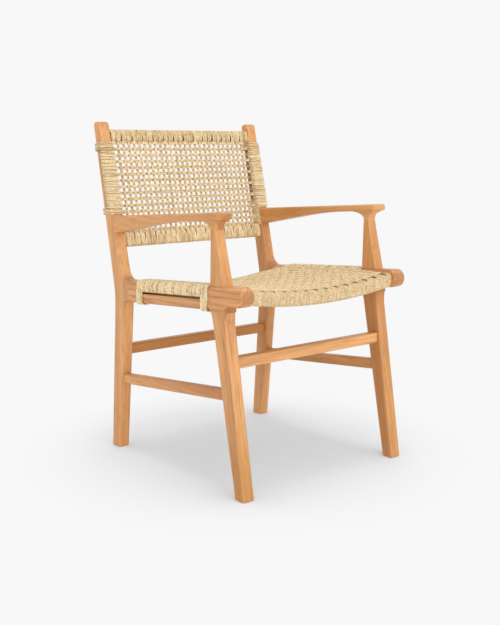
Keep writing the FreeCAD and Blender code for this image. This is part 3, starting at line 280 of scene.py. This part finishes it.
# Painted shade makes the armrests and arm posts a little darker; painted light makes the right armrest
# paler toward its front.
board("armrest_left", "Y", (6.1, 1.1, 0.3), deep=0.15, **PLAIN_GRAIN)
board("armrest_right", "Y", (7.4, 0.5, 1.9), deep=0.2, fore=-0.45, **PLAIN_GRAIN)
board("arm_post_left", "Z", (5.0, 2.8, 0.6), deep=0.15, **PLAIN_GRAIN)
board("arm_post_right", "Z", (6.6, 3.5, 1.2), deep=0.15, **PLAIN_GRAIN)

# Dowels.
# Round hardwood pins inside the joints of the armrests and arm posts.
for name in ("arm_foot_dowels", "arm_head_dowels", "arm_end_dowels"):
    finish_node(name, teak(f"wood_{name}", "Z", (0.2, 0.4, 0.6)))

# Cord on the seat's front and rear rails.
# Straw-coloured twisted cord is wound closely round each dipped rail, turn beside turn.
# On top of the front rail the turns part into bunches, which lead on into the woven seat.
chance = np.random.default_rng(11)
CORD_RADIUS = 0.0016
CORD_PITCH = 0.00345
CORD_SIDES = 6
CORD_LIGHT = (0.98, 0.81, 0.52, 1)
CORD_DARK = (0.5, 0.31, 0.13, 1)
CORD_SHADE = (0.19, 0.1, 0.045, 1)
TONE_RANGE = (0.35, 1.15)
SHADE_RANGE = (1.0, 2.0)
DRIFT_SHARE = 0.6
VALLEY_RANGE = (0.3, 0.0)
VALLEY_SHADE = 0.55
SPECK_RANGE = (0.5, 0.68)
SPECK_DARK = 0.6
FIBRE_HEIGHT = 0.4
PLIES = 3
PLY_PITCH = 0.0036


def cord_finish():
    """Twisted cord: plies slant round it, read from the length and girth in its UV map.

    The colour is flecked along the length and differs from strand to strand, and the plies stand up as
    bumps with painted shade in the valleys between them. A strand tone over 1 is painted shade, the dark
    brown of cord that lies far down in a slit.
    """
    material, tree, shader = new_material("straw_cord")
    uv = add_node(tree, "ShaderNodeUVMap", {}, uv_map="length_girth").outputs[0]
    parts = add_node(tree, "ShaderNodeSeparateXYZ", {"Vector": uv})
    girth = combine(tree, "MULTIPLY", parts.outputs["Y"], PLIES)
    turn = combine(tree, "MULTIPLY_ADD", parts.outputs["X"], 1 / PLY_PITCH, girth)
    ply = combine(tree, "PINGPONG", turn, 1.0)
    fibre = noise(tree, spot_on_piece(tree), scale=360, detail=3)
    drift = noise(tree, uv, scale=60, detail=3)
    tone = add_node(tree, "ShaderNodeAttribute", {}, attribute_name="strand_tone_and_shade").outputs["Fac"]
    mixed = combine(tree, "MULTIPLY_ADD", drift, DRIFT_SHARE, tone)
    colour = blend_colours(tree, spread(tree, mixed, *TONE_RANGE), CORD_LIGHT, CORD_DARK)
    # Painted shade in the valleys between the plies.
    valley_shade = combine(tree, "MULTIPLY", spread(tree, ply, *VALLEY_RANGE), VALLEY_SHADE)
    colour = blend_colours(tree, valley_shade, colour, CORD_DARK)
    specks = combine(tree, "MULTIPLY", spread(tree, fibre, *SPECK_RANGE), SPECK_DARK)
    colour = blend_colours(tree, specks, colour, CORD_DARK)
    # Painted shade where the strand tone is over 1.
    colour = blend_colours(tree, spread(tree, tone, *SHADE_RANGE), colour, CORD_SHADE)
    tree.links.new(colour, shader.inputs["Base Color"])
    height = combine(tree, "MULTIPLY_ADD", fibre, FIBRE_HEIGHT, ply)
    bump = add_node(tree, "ShaderNodeBump", {"Height": height, "Strength": 0.6, "Distance": 0.0004})
    tree.links.new(bump.outputs[0], shader.inputs["Normal"])
    shader.inputs["Roughness"].default_value = 0.7
    shader.inputs["Specular IOR Level"].default_value = 0.3
    return material


straw_cord = cord_finish()
PLAIN_TONE = 0.15
LENGTH_SHIFT = 0.05


def strand_mesh(name, middle, outward, radius=CORD_RADIUS, tone=0, uneven=0.25, fleck=0.3):
    """Round strands along many paths at once, as a closed mesh.

    middle holds the paths as strand x point x 3. At each point a circle of the given radius
    lies across the path, starting from the outward direction; the circles are joined by
    quads and the two ends are capped. The UV map holds the length in metres and the girth 0..1.
    To the given tone, which may hold painted shade, comes a plain one, with a chance share of up to uneven
    for each strand and one over a range of fleck for each point.
    """
    count, points = middle.shape[:2]
    along = np.gradient(middle, axis=1)
    along /= np.linalg.norm(along, axis=2, keepdims=True)
    up = outward - (outward * along).sum(2, keepdims=True) * along
    up /= np.linalg.norm(up, axis=2, keepdims=True)
    across = np.cross(along, up)
    angle = 2 * np.pi * np.arange(CORD_SIDES) / CORD_SIDES
    ring = (np.cos(angle)[:, None] * up[:, :, None] + np.sin(angle)[:, None] * across[:, :, None])
    corners = (middle[:, :, None] + radius * ring).reshape(-1, 3)
    index = np.arange(count * points * CORD_SIDES).reshape(count, points, CORD_SIDES)
    turned = np.roll(index, -1, axis=2)
    quads = np.stack((index[:, :-1], turned[:, :-1], turned[:, 1:], index[:, 1:]), axis=-1)
    caps = np.concatenate((index[:, 0, ::-1], index[:, -1]))
    loops = np.concatenate((quads.reshape(-1), caps.reshape(-1)))
    totals = np.concatenate((np.full(quads.size // 4, 4), np.full(2 * count, CORD_SIDES)))
    starts = np.concatenate(([0], np.cumsum(totals)[:-1]))
    step = np.linalg.norm(np.diff(middle, axis=1), axis=2)
    length = np.concatenate((np.zeros((count, 1)), np.cumsum(step, axis=1)), axis=1)
    length += chance.uniform(0, LENGTH_SHIFT, (count, 1))
    girth = np.arange(CORD_SIDES + 1) / CORD_SIDES
    shape = quads.shape[:3]
    near = np.broadcast_to(length[:, :-1, None], shape)
    far = np.broadcast_to(length[:, 1:, None], shape)
    low = np.broadcast_to(girth[:-1], shape)
    high = np.broadcast_to(girth[1:], shape)
    wall_uv = np.stack((np.stack((near, low), -1), np.stack((near, high), -1),
                        np.stack((far, high), -1), np.stack((far, low), -1)), axis=-2)
    cap_uv = np.zeros((caps.size, 2))
    uv = np.concatenate((wall_uv.reshape(-1, 2), cap_uv))
    own = PLAIN_TONE + uneven * chance.random(count)[:, None]
    own = own + fleck * (chance.random((count, points)) - 0.5)
    own = np.repeat(own + tone, CORD_SIDES)
    mesh = bpy.data.meshes.new(name)
    mesh.vertices.add(len(corners))
    mesh.vertices.foreach_set("co", corners.astype(np.float32).ravel())
    mesh.loops.add(len(loops))
    mesh.loops.foreach_set("vertex_index", loops.astype(np.int32))
    mesh.polygons.add(len(totals))
    mesh.polygons.foreach_set("loop_start", starts.astype(np.int32))
    mesh.polygons.foreach_set("use_smooth", np.ones(len(totals), bool))
    layer = mesh.uv_layers.new(name="length_girth")
    layer.data.foreach_set("uv", uv.astype(np.float32).ravel())
    shade = mesh.attributes.new("strand_tone_and_shade", "FLOAT", "POINT")
    shade.data.foreach_set("value", own.astype(np.float32))
    mesh.update(calc_edges=True)
    mesh.validate()
    mesh.materials.append(straw_cord)
    piece = bpy.data.objects.new(name, mesh)
    bpy.context.scene.collection.objects.link(piece)
    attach(piece, "root")
    return piece


def turn_of_cord(half_a, half_b, bend):
    """One turn round a bar with rounded corners, as 24 points.

    Each corner is an arc of four points, and each straight side has two points more, at its
    thirds. Gives for each point which side of the bar it is on (two signs that run from 1 to -1
    along the straight sides), the direction away from the bar, and the share of the turn done.
    """
    angle = np.radians(np.array([0, 30, 60, 90])[None] + 90 * np.arange(4)[:, None])
    corner = np.array([(1, 1), (-1, 1), (-1, -1), (1, -1)])
    following = np.roll(corner, -1, axis=0)
    third = np.array([1, 2])[None, :, None] / 3
    runs = corner[:, None] * (1 - third) + following[:, None] * third
    signs = np.concatenate((np.repeat(corner[:, None], 4, axis=1), runs), axis=1).reshape(-1, 2)
    ends = np.repeat(angle[:, 3:], 2, axis=1)
    ways = np.concatenate((angle, ends), axis=1).reshape(-1)
    ways = np.stack((np.cos(ways), np.sin(ways)), axis=1)
    spots = signs * (np.array([half_a, half_b]) - bend) + bend * ways
    step = np.linalg.norm(np.roll(spots, -1, axis=0) - spots, axis=1)
    share = np.concatenate(([0], np.cumsum(step)[:-1])) / step.sum()
    return signs, ways, share


def unparted(u, a, b):
    """No shift and no shade: turns that lie close all the way."""
    return 0 * u, 0 * u


def even_bar(half_a, half_b):
    """A bar of the same two thicknesses all along, as wound_cord asks for it."""
    return lambda u: (np.full(len(u), half_a), np.full(len(u), half_b))


STEP_START = 0.3
STEP_SHARE = 0.4
TURN_OFF = 0.00025
TURN_SWAY = 0.00035
TURN_LIFT = 0.0005
NUDGE = 0.001


def wound_cord(name, start, end, bar, place, pitch=CORD_PITCH, part=unparted, bend=0.0055, tone=0,
               uneven=0.2, fleck=0.3, loose=1):
    """A cord wound closely round a bar from start to end, as one unbroken strand.

    bar(u) gives half the bar's two thicknesses at the advance u, and place(u, a, b) the point in
    space a and b away from the bar's middle line. The turns stand straight, and the cord steps on
    to the next turn on the side where a is negative. part(u, a, b) gives how far a turn is moved
    sideways and how deep in the shade of a slit it lies. bend is the radius at the bar's corners.
    The turns' tone is uneven, and their place and height differ by chance, in the measure of loose.
    """
    turns = int((end - start) / pitch)
    half_a, half_b = bar(np.array([(start + end) / 2]))
    signs, ways, share = turn_of_cord(float(half_a[0]), float(half_b[0]), bend)
    step = np.clip((share - STEP_START) / STEP_SHARE, 0, 1)
    own = (start + end) / 2 + pitch * (np.arange(turns)[:, None] - turns // 2 - 0.5 + step)
    advance = own + loose * chance.normal(0, TURN_OFF, (turns, 1)) * np.cos(np.pi * step)
    lean = loose * chance.normal(0, TURN_SWAY, (turns, 2))
    advance += lean[:, :1] * np.sin(2 * np.pi * share) + lean[:, 1:] * np.sin(4 * np.pi * share)
    advance = advance.reshape(-1)
    sign_a, sign_b = np.tile(signs, (turns, 1)).T
    way_a, way_b = np.tile(ways, (turns, 1)).T
    half_a, half_b = bar(advance)
    lift = CORD_RADIUS + loose * np.repeat(chance.uniform(0, TURN_LIFT, turns), len(share))
    a = sign_a * (half_a + lift - bend) + bend * way_a
    b = sign_b * (half_b + lift - bend) + bend * way_b
    shift, shade = part(own.reshape(-1), a / half_a, b / half_b)
    moved = advance + shift
    middle = place(moved, a, b)
    outward = place(moved, a + NUDGE * way_a, b + NUDGE * way_b) - middle
    own_tone = tone + np.repeat(chance.uniform(-uneven, uneven, turns), len(share))
    return strand_mesh(name, middle[None], outward[None], tone=(own_tone + shade)[None], fleck=fleck)


PARTED_REACH = 0.21
SLIT_SHADE = 2.0


def parted(u, gap, pitch, first, spread_over):
    """Sideways shift of turns at u that opens a gap at first and at every pitch from there.

    No gap opens farther than PARTED_REACH from the middle. Also gives painted shade, on the one turn that
    stands just past each gap.
    """
    away = (u - first + pitch / 2) % pitch - pitch / 2
    within = np.abs(u - away) < PARTED_REACH
    shift = gap / 2 * np.sign(away) * np.exp(-np.abs(away) / spread_over)
    return shift * within, SLIT_SHADE * within * (np.abs(away - CORD_RADIUS) < CORD_RADIUS / 2)


def ease(share):
    """Share cut off to 0..1, with soft ends."""
    share = np.clip(share, 0, 1)
    return share * share * (3 - 2 * share)


def slit_shade(opened):
    """Share of a slit's shade where it is opened by a share of its width: none at its closed end."""
    return ease(1.4 * opened - 0.3)


# Half the bar's two thicknesses, and the y and top of each rail at the middle of the seat.
SEAT_RAIL_HALF = (0.012, 0.01375)
SEAT_FRONT = (-0.263, 0.4395)
SEAT_REAR = (0.186, 0.3995)
SEAT_HALF = 0.22
SEAT_DIP = 0.018
DIP_RADIUS = (SEAT_HALF ** 2 + SEAT_DIP ** 2) / (2 * SEAT_DIP)
DIP_REACH = 0.225
COLUMN_PITCH = 0.016
SLIT_PITCH = 2 * COLUMN_PITCH
SLIT_FIRST = 0.0096
SLIT_SPREAD = 0.006
SEAT_TURN_PITCH = SLIT_PITCH / 10


def seat_dip(x):
    """Rise of the seat from its middle line to the sides, an arc of a circle."""
    return DIP_RADIUS - np.sqrt(DIP_RADIUS ** 2 - x ** 2)


def seat_rail_cord(name, half_span, rail, outside, node, slit):
    """Cord round a dipped seat rail; outside is the sense of y away from the seat.

    On the inner half of the rail's top the turns part into bunches with slits between them, and painted
    shade darkens the turn just past each slit.
    """
    def place(x, a, z):
        level = rail[1] - SEAT_RAIL_HALF[1] + seat_dip(np.clip(x, -DIP_REACH, DIP_REACH))
        return np.stack((x, rail[0] + outside * a, level + z), axis=1)

    def part(x, a, b):
        inner_top = ease(1.1 - a) * ease(3 * b)
        shift, shade = parted(x, slit, SLIT_PITCH, SLIT_FIRST, SLIT_SPREAD)
        return shift * inner_top, shade * slit_shade(inner_top) * (slit > 0)
    piece = wound_cord(name, -half_span, half_span, even_bar(*SEAT_RAIL_HALF), place, SEAT_TURN_PITCH,
                       part, bend=0.0085, tone=0.1, uneven=0.05, fleck=0.35, loose=0.35)
    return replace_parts(piece, node)


seat_rail_cord("seat_front_cord", 0.2215, SEAT_FRONT, -1, "seat_front_wrap", slit=0.0075)
seat_rail_cord("seat_rear_cord", 0.2225, SEAT_REAR, 1, "seat_rear_wrap", slit=0)

# Woven seat.
# Bunches of five cords run from front to back and from side to side, each over one bunch of the
# other set and under the next, so that squares of cord along and across take turns.
WEAVE_HALF = 0.2185
SIDE_LEVELS = ((-0.263, 0.4575), (-0.146, 0.4575), (0.083, 0.4415), (0.13, 0.4345), (0.186, 0.417))
ROW_FRONT = -0.2495
ROW_REAR = 0.1765
TUCKED_UNDER = 0.004
BUNCH = 5
STRAND_PITCH = COLUMN_PITCH / BUNCH
LONG_STRANDS = 136
SQUARES = 27
RUN_POINTS = 5 * SQUARES + 1
COLUMN_FIRST = SLIT_FIRST - COLUMN_PITCH / 2
WEAVE_LIFT = 0.0016
WEAVE_OFF = 0.0002
FLAT_TONE = -0.36
DIVE_SHADE = 1.4


def seat_level(x, y):
    """Height of the middle of the weave: straight from rail to rail along the middle line.

    Across, it rises with the square of x to the height of the side bars' tops.
    """
    share = (y - SEAT_FRONT[0]) / (SEAT_REAR[0] - SEAT_FRONT[0])
    middle = SEAT_FRONT[1] + share * (SEAT_REAR[1] - SEAT_FRONT[1])
    side = np.interp(y, *np.transpose(SIDE_LEVELS))
    return middle + (side - middle) * (x / WEAVE_HALF) ** 2


def bunches(name, lengthwise, order):
    """Every second bunch of one set of the seat's cords.

    A strand's height is the square root of a cosine with its sign kept: it lies flat over one square of the
    weave, dives steeply and lies flat under the next. Painted shade makes it darker where it dives.
    """
    cross_first = ROW_FRONT + COLUMN_PITCH / 2
    if lengthwise:
        lanes = STRAND_PITCH * (np.arange(LONG_STRANDS) - (LONG_STRANDS - 1) / 2)
        bunch = np.round((lanes - COLUMN_FIRST) / COLUMN_PITCH)
        run = np.linspace(ROW_FRONT - TUCKED_UNDER, ROW_REAR + TUCKED_UNDER, RUN_POINTS)
        wave = -np.cos(np.pi * (run - cross_first) / COLUMN_PITCH)
    else:
        lanes = np.arange(ROW_FRONT + STRAND_PITCH / 2, ROW_REAR, STRAND_PITCH)
        bunch = np.arange(len(lanes)) // BUNCH
        run = np.linspace(-WEAVE_HALF, WEAVE_HALF, RUN_POINTS)
        wave = np.cos(np.pi * (run - COLUMN_FIRST) / COLUMN_PITCH)
    lanes = lanes[bunch % 2 == order]
    over = (1 - 2 * order) * np.sign(wave) * np.sqrt(np.abs(wave))
    aside = lanes[:, None] + chance.normal(0, WEAVE_OFF, (len(lanes), 1)) + 0 * run
    along = np.broadcast_to(run, aside.shape)
    x, y = (aside, along) if lengthwise else (along, aside)
    z = seat_level(x, y) + WEAVE_LIFT * over + chance.normal(0, WEAVE_OFF, (len(lanes), 1))
    up = np.broadcast_to((0.0, 0.0, 1.0), x.shape + (3,))
    # Painted shade where the strand dives.
    tone = np.broadcast_to(DIVE_SHADE * (1 - over ** 2) + FLAT_TONE, x.shape)
    return strand_mesh(name, np.stack((x, y, z), axis=-1), up, tone=tone, uneven=0.15, fleck=0.8)


for order in (0, 1):
    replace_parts(bunches(f"seat_cross_cords_{order}", False, order), "seat_weave")
    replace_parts(bunches(f"seat_long_cords_{order}", True, order), "seat_weave")

# Cord on the side rails.
# The same cord passes through the slot of each side rail and is wound round its upper bar.
# At both ends of the slot a short band of turns goes round the whole rail.
SIDES = (("left", -1), ("right", 1))
SIDE_X = 0.236
RAKE = math.tan(RAKE_ANGLE)
RAIL_TOP = 0.449
RAIL_BAR_HALF = (0.0185, 0.011)
RAIL_HALF = (0.0185, 0.0265)


def rail_cord(name, side, start, end, half, node, slit=0):
    """Cord round a side rail, its turns upright and its middle line raked with the rail.

    Where the bar's inner side meets its top, the turns part a little into bunches, and painted shade, half
    as dark as on the seat's front, darkens the turn just past each slit.
    """
    def place(y, a, z):
        return np.stack((side * (SIDE_X + a), y, RAIL_TOP - RAKE * y - half[1] + z), axis=1)

    def part(y, a, b):
        inner_top = ease(0.2 - a) * ease(2 * b)
        shift, shade = parted(y, slit, SLIT_PITCH, (start + end) / 2, SLIT_SPREAD)
        return shift * inner_top, 0.5 * shade * slit_shade(inner_top) * (slit > 0)
    piece = wound_cord(name, start, end, even_bar(*half), place, SEAT_TURN_PITCH, part,
                       tone=-0.22, uneven=0.42, fleck=0.8)
    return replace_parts(piece, node)


for word, side in SIDES:
    rail_cord(f"seat_side_cord_{word}", side, -0.149, 0.086, RAIL_BAR_HALF, f"seat_side_wrap_{word}",
              slit=0.002)
    rail_cord(f"seat_end_cord_front_{word}", side, -0.1725, -0.1465, RAIL_HALF,
              f"seat_band_front_{word}")
    rail_cord(f"seat_end_cord_rear_{word}", side, 0.0835, 0.1095, RAIL_HALF, f"seat_band_rear_{word}")

# Cord on the back's rails.
# Cord is wound round the top and bottom rails, five turns to each column of the panel.
# Toward the panel the turns part into bunches with a slit over each hole, wide and narrow by turns.
POST_BEND = np.array([0.195, 0.395])
POST_TOP = np.array([0.287, 0.82])
LEAN = (POST_TOP - POST_BEND) / np.linalg.norm(POST_TOP - POST_BEND)
BACK_BOTTOM_Z = 0.53
BACK_TOP_Z = 0.785
BACK_CORD_HALF = 0.2215
BACK_RAIL_THICK = 0.018
BACK_BOTTOM_HEIGHT = 0.029
BACK_TOP_HEIGHT = 0.024
BACK_COLUMN = 0.01585
BACK_TURN_PITCH = BACK_COLUMN / 5
HOLE_SPREAD = 0.005


def on_back(x, forward, rise):
    """Point of the leaning back: rise up the post's line from the bottom rail, forward of it."""
    start = POST_BEND[0] + LEAN[0] / LEAN[1] * (BACK_BOTTOM_Z - POST_BEND[1])
    y = start + rise * LEAN[0] - forward * LEAN[1]
    z = BACK_BOTTOM_Z + rise * LEAN[1] + forward * LEAN[0]
    return np.stack(np.broadcast_arrays(x, y, z), axis=-1)


def rise_at(z):
    """Rise up the post's line at which the back is z above the floor."""
    return (z - BACK_BOTTOM_Z) / LEAN[1]


def back_rail_cord(name, level, height, inward, node, slit, tone):
    """Cord round a back rail, parted at each hole of the panel; inward is the panel's side."""
    def place(x, a, b):
        return on_back(x, a, rise_at(level) + b)

    def part(x, a, b):
        wide = parted(x, slit, 2 * BACK_COLUMN, 0, HOLE_SPREAD)[0]
        narrow = parted(x, slit / 2, 2 * BACK_COLUMN, BACK_COLUMN, HOLE_SPREAD)[0]
        return wide * ease(0.4 + inward * b) + narrow * ease(0.2 + inward * b), 0 * x
    piece = wound_cord(name, -BACK_CORD_HALF, BACK_CORD_HALF, even_bar(BACK_RAIL_THICK / 2, height / 2),
                       place, BACK_TURN_PITCH, part, tone=tone)
    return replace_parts(piece, node)


back_rail_cord("back_top_cord", BACK_TOP_Z, BACK_TOP_HEIGHT, -1, "back_top_wrap", slit=0.0055, tone=0.27)
back_rail_cord("back_bottom_cord", BACK_BOTTOM_Z, BACK_BOTTOM_HEIGHT, 1, "back_bottom_wrap", slit=0.0045,
               tone=-0.04)

# Woven back panel.
# Pairs of cord run up and down and from post to post, over and under each other in a plain weave.
# The pairs stand apart, so that a square hole stays between them.
PANEL_HALF = 0.2185
PANEL_FORWARD = 0.004
PANEL_ROW = 0.01582
PANEL_FIRST_ROW = 0.0216
PANEL_ROWS = 15
PANEL_COLUMNS = 26
POINTS_TO_HOLE = 6
COLUMN_LIFT = 0.001
ROW_LIFT = 0.0026
COLUMN_APART = 0.00178
ROW_APART = 1.05 * COLUMN_APART
COLUMN_CORD = 0.0017
ROW_CORD = 1.13 * COLUMN_CORD
SWAY = 0.0004
SWAY_ANGLE_PER_METRE = 35
UNDER_SHADE = 0.5


def panel_strands(name, upright):
    """One set of pairs of the panel, each a wave that passes over and under the other set.

    The wave has its crests at the crossings; the two sets have opposite signs. A slow sideways sway of each
    strand makes the holes uneven, and painted shade makes a strand darker where it passes under.
    """
    columns = BACK_COLUMN * (np.arange(PANEL_COLUMNS) - (PANEL_COLUMNS - 1) / 2)
    rows = PANEL_FIRST_ROW + PANEL_ROW * np.arange(PANEL_ROWS)
    if upright:
        lanes, pitch, first = columns, PANEL_ROW, rows[0]
        lift, apart, radius = COLUMN_LIFT, COLUMN_APART, COLUMN_CORD
        top = rise_at(BACK_TOP_Z) - BACK_TOP_HEIGHT / 2
        run = np.linspace(BACK_BOTTOM_HEIGHT / 2, top, POINTS_TO_HOLE * PANEL_ROWS + 1)
    else:
        lanes, pitch, first = rows, BACK_COLUMN, columns[0]
        lift, apart, radius = ROW_LIFT, ROW_APART, ROW_CORD
        run = np.linspace(-PANEL_HALF, PANEL_HALF, POINTS_TO_HOLE * (PANEL_COLUMNS + 1) + 1)
    order = np.arange(len(lanes))[:, None, None]
    pair = np.array([-1, 1])[None, :, None]
    wave = np.pi * (run - first) / pitch + np.pi * order
    over = np.cos(wave) if upright else -np.cos(wave)
    sway = chance.uniform(0, 2 * np.pi, (len(lanes), 2, 1))
    aside = lanes[:, None, None] + pair * apart + SWAY * np.sin(SWAY_ANGLE_PER_METRE * run + sway)
    forward = np.broadcast_to(PANEL_FORWARD + lift * over, aside.shape).reshape(-1, len(run))
    # Painted shade where a strand passes under the other set.
    tone = np.broadcast_to(UNDER_SHADE * (1 - over) / 2, aside.shape).reshape(-1, len(run))
    aside = aside.reshape(-1, len(run))
    along = np.broadcast_to(run, aside.shape)
    middle = on_back(aside, forward, along) if upright else on_back(along, forward, aside)
    up = np.broadcast_to(on_back(0.0, 1.0, 0.0) - on_back(0.0, 0.0, 0.0), middle.shape)
    return strand_mesh(name, middle, up, radius, tone=tone)


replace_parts(panel_strands("back_upright_pairs", True), "back_weave")
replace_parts(panel_strands("back_cross_pairs", False), "back_weave")

# Cord on the posts.
# Cord is wound through the post's slot and round the bar in front of it, turn on turn. Above and
# below, a band of turns goes round the whole post; under the lower one, cords cross its inner face.
POST_HALF_WIDTH = 0.016
POST_SLOT = 0.0066
POST_FRONT_BEND = 0.173
POST_FRONT_TOP = 0.2738


def post_lines(z):
    """Front edge and middle of the post at height z, both straight from bend to top."""
    share = (z - POST_BEND[1]) / (POST_TOP[1] - POST_BEND[1])
    front = POST_FRONT_BEND + share * (POST_FRONT_TOP - POST_FRONT_BEND)
    return front, POST_BEND[0] + share * (POST_TOP[0] - POST_BEND[0])


def post_cord(name, side, start, end, whole, node):
    """Cord round the post, or round only the bar before its slot."""
    def rear_edge(z):
        front, middle = post_lines(z)
        return 2 * middle - front if whole else middle - POST_SLOT / 2

    def bar(z):
        return np.full(len(z), POST_HALF_WIDTH), (rear_edge(z) - post_lines(z)[0]) / 2

    def place(z, a, y):
        return np.stack((side * SIDE_X - a, (rear_edge(z) + post_lines(z)[0]) / 2 + y, z), axis=1)
    piece = wound_cord(name, start, end, bar, place, bend=0.0045, tone=0.08)
    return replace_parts(piece, node)


EDGE_LOW_Z = 0.5465
EDGE_HIGH_Z = 0.594
EDGE_REAR = -0.012
EDGE_FRONT = 0.0185
EDGE_POINTS = 12
EDGE_OFF = 0.0002
SUNK = 0.004
SUNK_OVER_REAR = 0.004
SUNK_OVER_FRONT = 0.006


def edge_cords(name, side):
    """Cords across the post's inner face below its lower band, each sunk into the wood at its ends."""
    levels = np.arange(EDGE_LOW_Z, EDGE_HIGH_Z, CORD_PITCH)
    rise = rise_at(levels[:, None]) + chance.normal(0, EDGE_OFF, (len(levels), 1))
    forward = np.linspace(EDGE_REAR, EDGE_FRONT, EDGE_POINTS)
    sunk = SUNK * (ease(1 + (forward - EDGE_FRONT) / SUNK_OVER_FRONT)
                   + ease(1 + (EDGE_REAR - forward) / SUNK_OVER_REAR))
    middle = on_back(side * (POST_INNER_X - CORD_RADIUS + sunk), forward, rise)
    outward = np.broadcast_to((-side, 0.0, 0.0), middle.shape)
    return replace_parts(strand_mesh(name, middle, outward, tone=-0.15), "back_weave")


for word, side in SIDES:
    post_cord(f"back_side_cord_{word}", side, 0.6098, 0.7497, False, f"back_side_wrap_{word}")
    post_cord(f"back_end_cord_lower_{word}", side, 0.593, 0.611, True, f"back_band_lower_{word}")
    post_cord(f"back_end_cord_upper_{word}", side, 0.7485, 0.7725, True, f"back_band_upper_{word}")
    edge_cords(f"back_edge_cords_{word}", side)

# Floor, light and camera.
# A pale seamless studio floor under even soft light, a little cooler below the chair, which takes
# the wood's warm glow out of the shadow. The camera stands before the chair's left front corner.
PALE = (0.938, 0.938, 0.938, 1)
PALE_UNDER = (0.885, 0.938, 0.985, 1)
UNDER_RANGE = (0.7, 0.15)
GLOW_RANGE = (0.32, 0.64)
SHADOW_LIFTING_GLOW = 0.1
FLOOR_REACH = 20
ground = bpy.data.meshes.new("floor")
ground.from_pydata([(-FLOOR_REACH, -FLOOR_REACH, 0), (FLOOR_REACH, -FLOOR_REACH, 0),
                    (FLOOR_REACH, FLOOR_REACH, 0), (-FLOOR_REACH, FLOOR_REACH, 0)], [], [(0, 1, 2, 3)])
floor = bpy.data.objects.new("floor", ground)
bpy.context.scene.collection.objects.link(floor)


def seen_rays(tree):
    """1 for rays that show the backdrop: from the camera, mirrored or through glass."""
    path = add_node(tree, "ShaderNodeLightPath", {})
    share = path.outputs["Is Camera Ray"]
    for kind in ("Is Glossy Ray", "Is Transmission Ray"):
        share = combine(tree, "MAXIMUM", share, path.outputs[kind])
    return share


floor_paint, tree, shader = new_material("pale_floor")
shader.inputs["Roughness"].default_value = 1
shader.inputs["Specular IOR Level"].default_value = 0
away = add_node(tree, "ShaderNodeVectorMath", {0: spot_on_piece(tree)}, operation="LENGTH").outputs["Value"]
under = blend_colours(tree, spread(tree, away, *UNDER_RANGE), PALE, PALE_UNDER)
tree.links.new(under, shader.inputs["Base Color"])
# At least a tenth of the backdrop's glow shows under the chair too, painted light that lightens its shadow.
far = combine(tree, "MAXIMUM", spread(tree, away, *GLOW_RANGE), SHADOW_LIFTING_GLOW)
far_seen = combine(tree, "MULTIPLY", far, seen_rays(tree))
glow = add_node(tree, "ShaderNodeEmission", {"Color": PALE, "Strength": 1.0}).outputs[0]
both = add_node(tree, "ShaderNodeMixShader", {0: far_seen, 1: shader.outputs[0], 2: glow}).outputs[0]
tree.links.new(both, tree.nodes["Material Output"].inputs["Surface"])
ground.materials.append(floor_paint)

world = bpy.data.worlds.new("studio")
bpy.context.scene.world = world
world.use_nodes = True
sky = world.node_tree
ambient = sky.nodes["Background"]
ambient.inputs["Color"].default_value = (0.975, 1.014, 1.055, 1)
ambient.inputs["Strength"].default_value = 0.78
backdrop = add_node(sky, "ShaderNodeBackground", {"Color": PALE, "Strength": 1.0}).outputs[0]
mixed = add_node(sky, "ShaderNodeMixShader", {0: seen_rays(sky), 1: ambient.outputs[0], 2: backdrop})
sky.links.new(mixed.outputs[0], sky.nodes["World Output"].inputs["Surface"])


def look_along(thing, way):
    """Turns a lamp or camera so that it looks along a direction."""
    thing.rotation_euler = way.to_track_quat("-Z", "Y").to_euler()


# Each lamp's strength, its width in degrees, its colour and the way it shines.
LAMPS = {"overhead": (0.52, 22, (1, 0.86, 0.72), (0, 0, -1)),
         "front_fill": (1.45, 60, (0.95, 1.02, 1.05), (0.02, 0.98, -0.12)),
         "near_fill": (0.32, 16, (1, 0.93, 0.86), (0.68, 0.72, -0.12))}
for name, (energy, width, colour, way) in LAMPS.items():
    lamp = bpy.data.lights.new(name, "SUN")
    lamp.color = colour
    lamp.energy = energy
    lamp.angle = math.radians(width)
    shone = bpy.data.objects.new(name, lamp)
    bpy.context.scene.collection.objects.link(shone)
    look_along(shone, Vector(way))

CAMERA_PLACE = Vector((-1.4649, -1.7791, 0.758))
CAMERA_TARGET = Vector((-0.0031, -0.012, 0.3536))
lens = bpy.data.cameras.new("camera")
lens.sensor_width = 36
lens.lens = 54.03
camera = bpy.data.objects.new("camera", lens)
bpy.context.scene.collection.objects.link(camera)
camera.location = CAMERA_PLACE
look_along(camera, CAMERA_TARGET - CAMERA_PLACE)
bpy.context.scene.camera = camera
bpy.context.scene.view_settings.view_transform = "Standard"
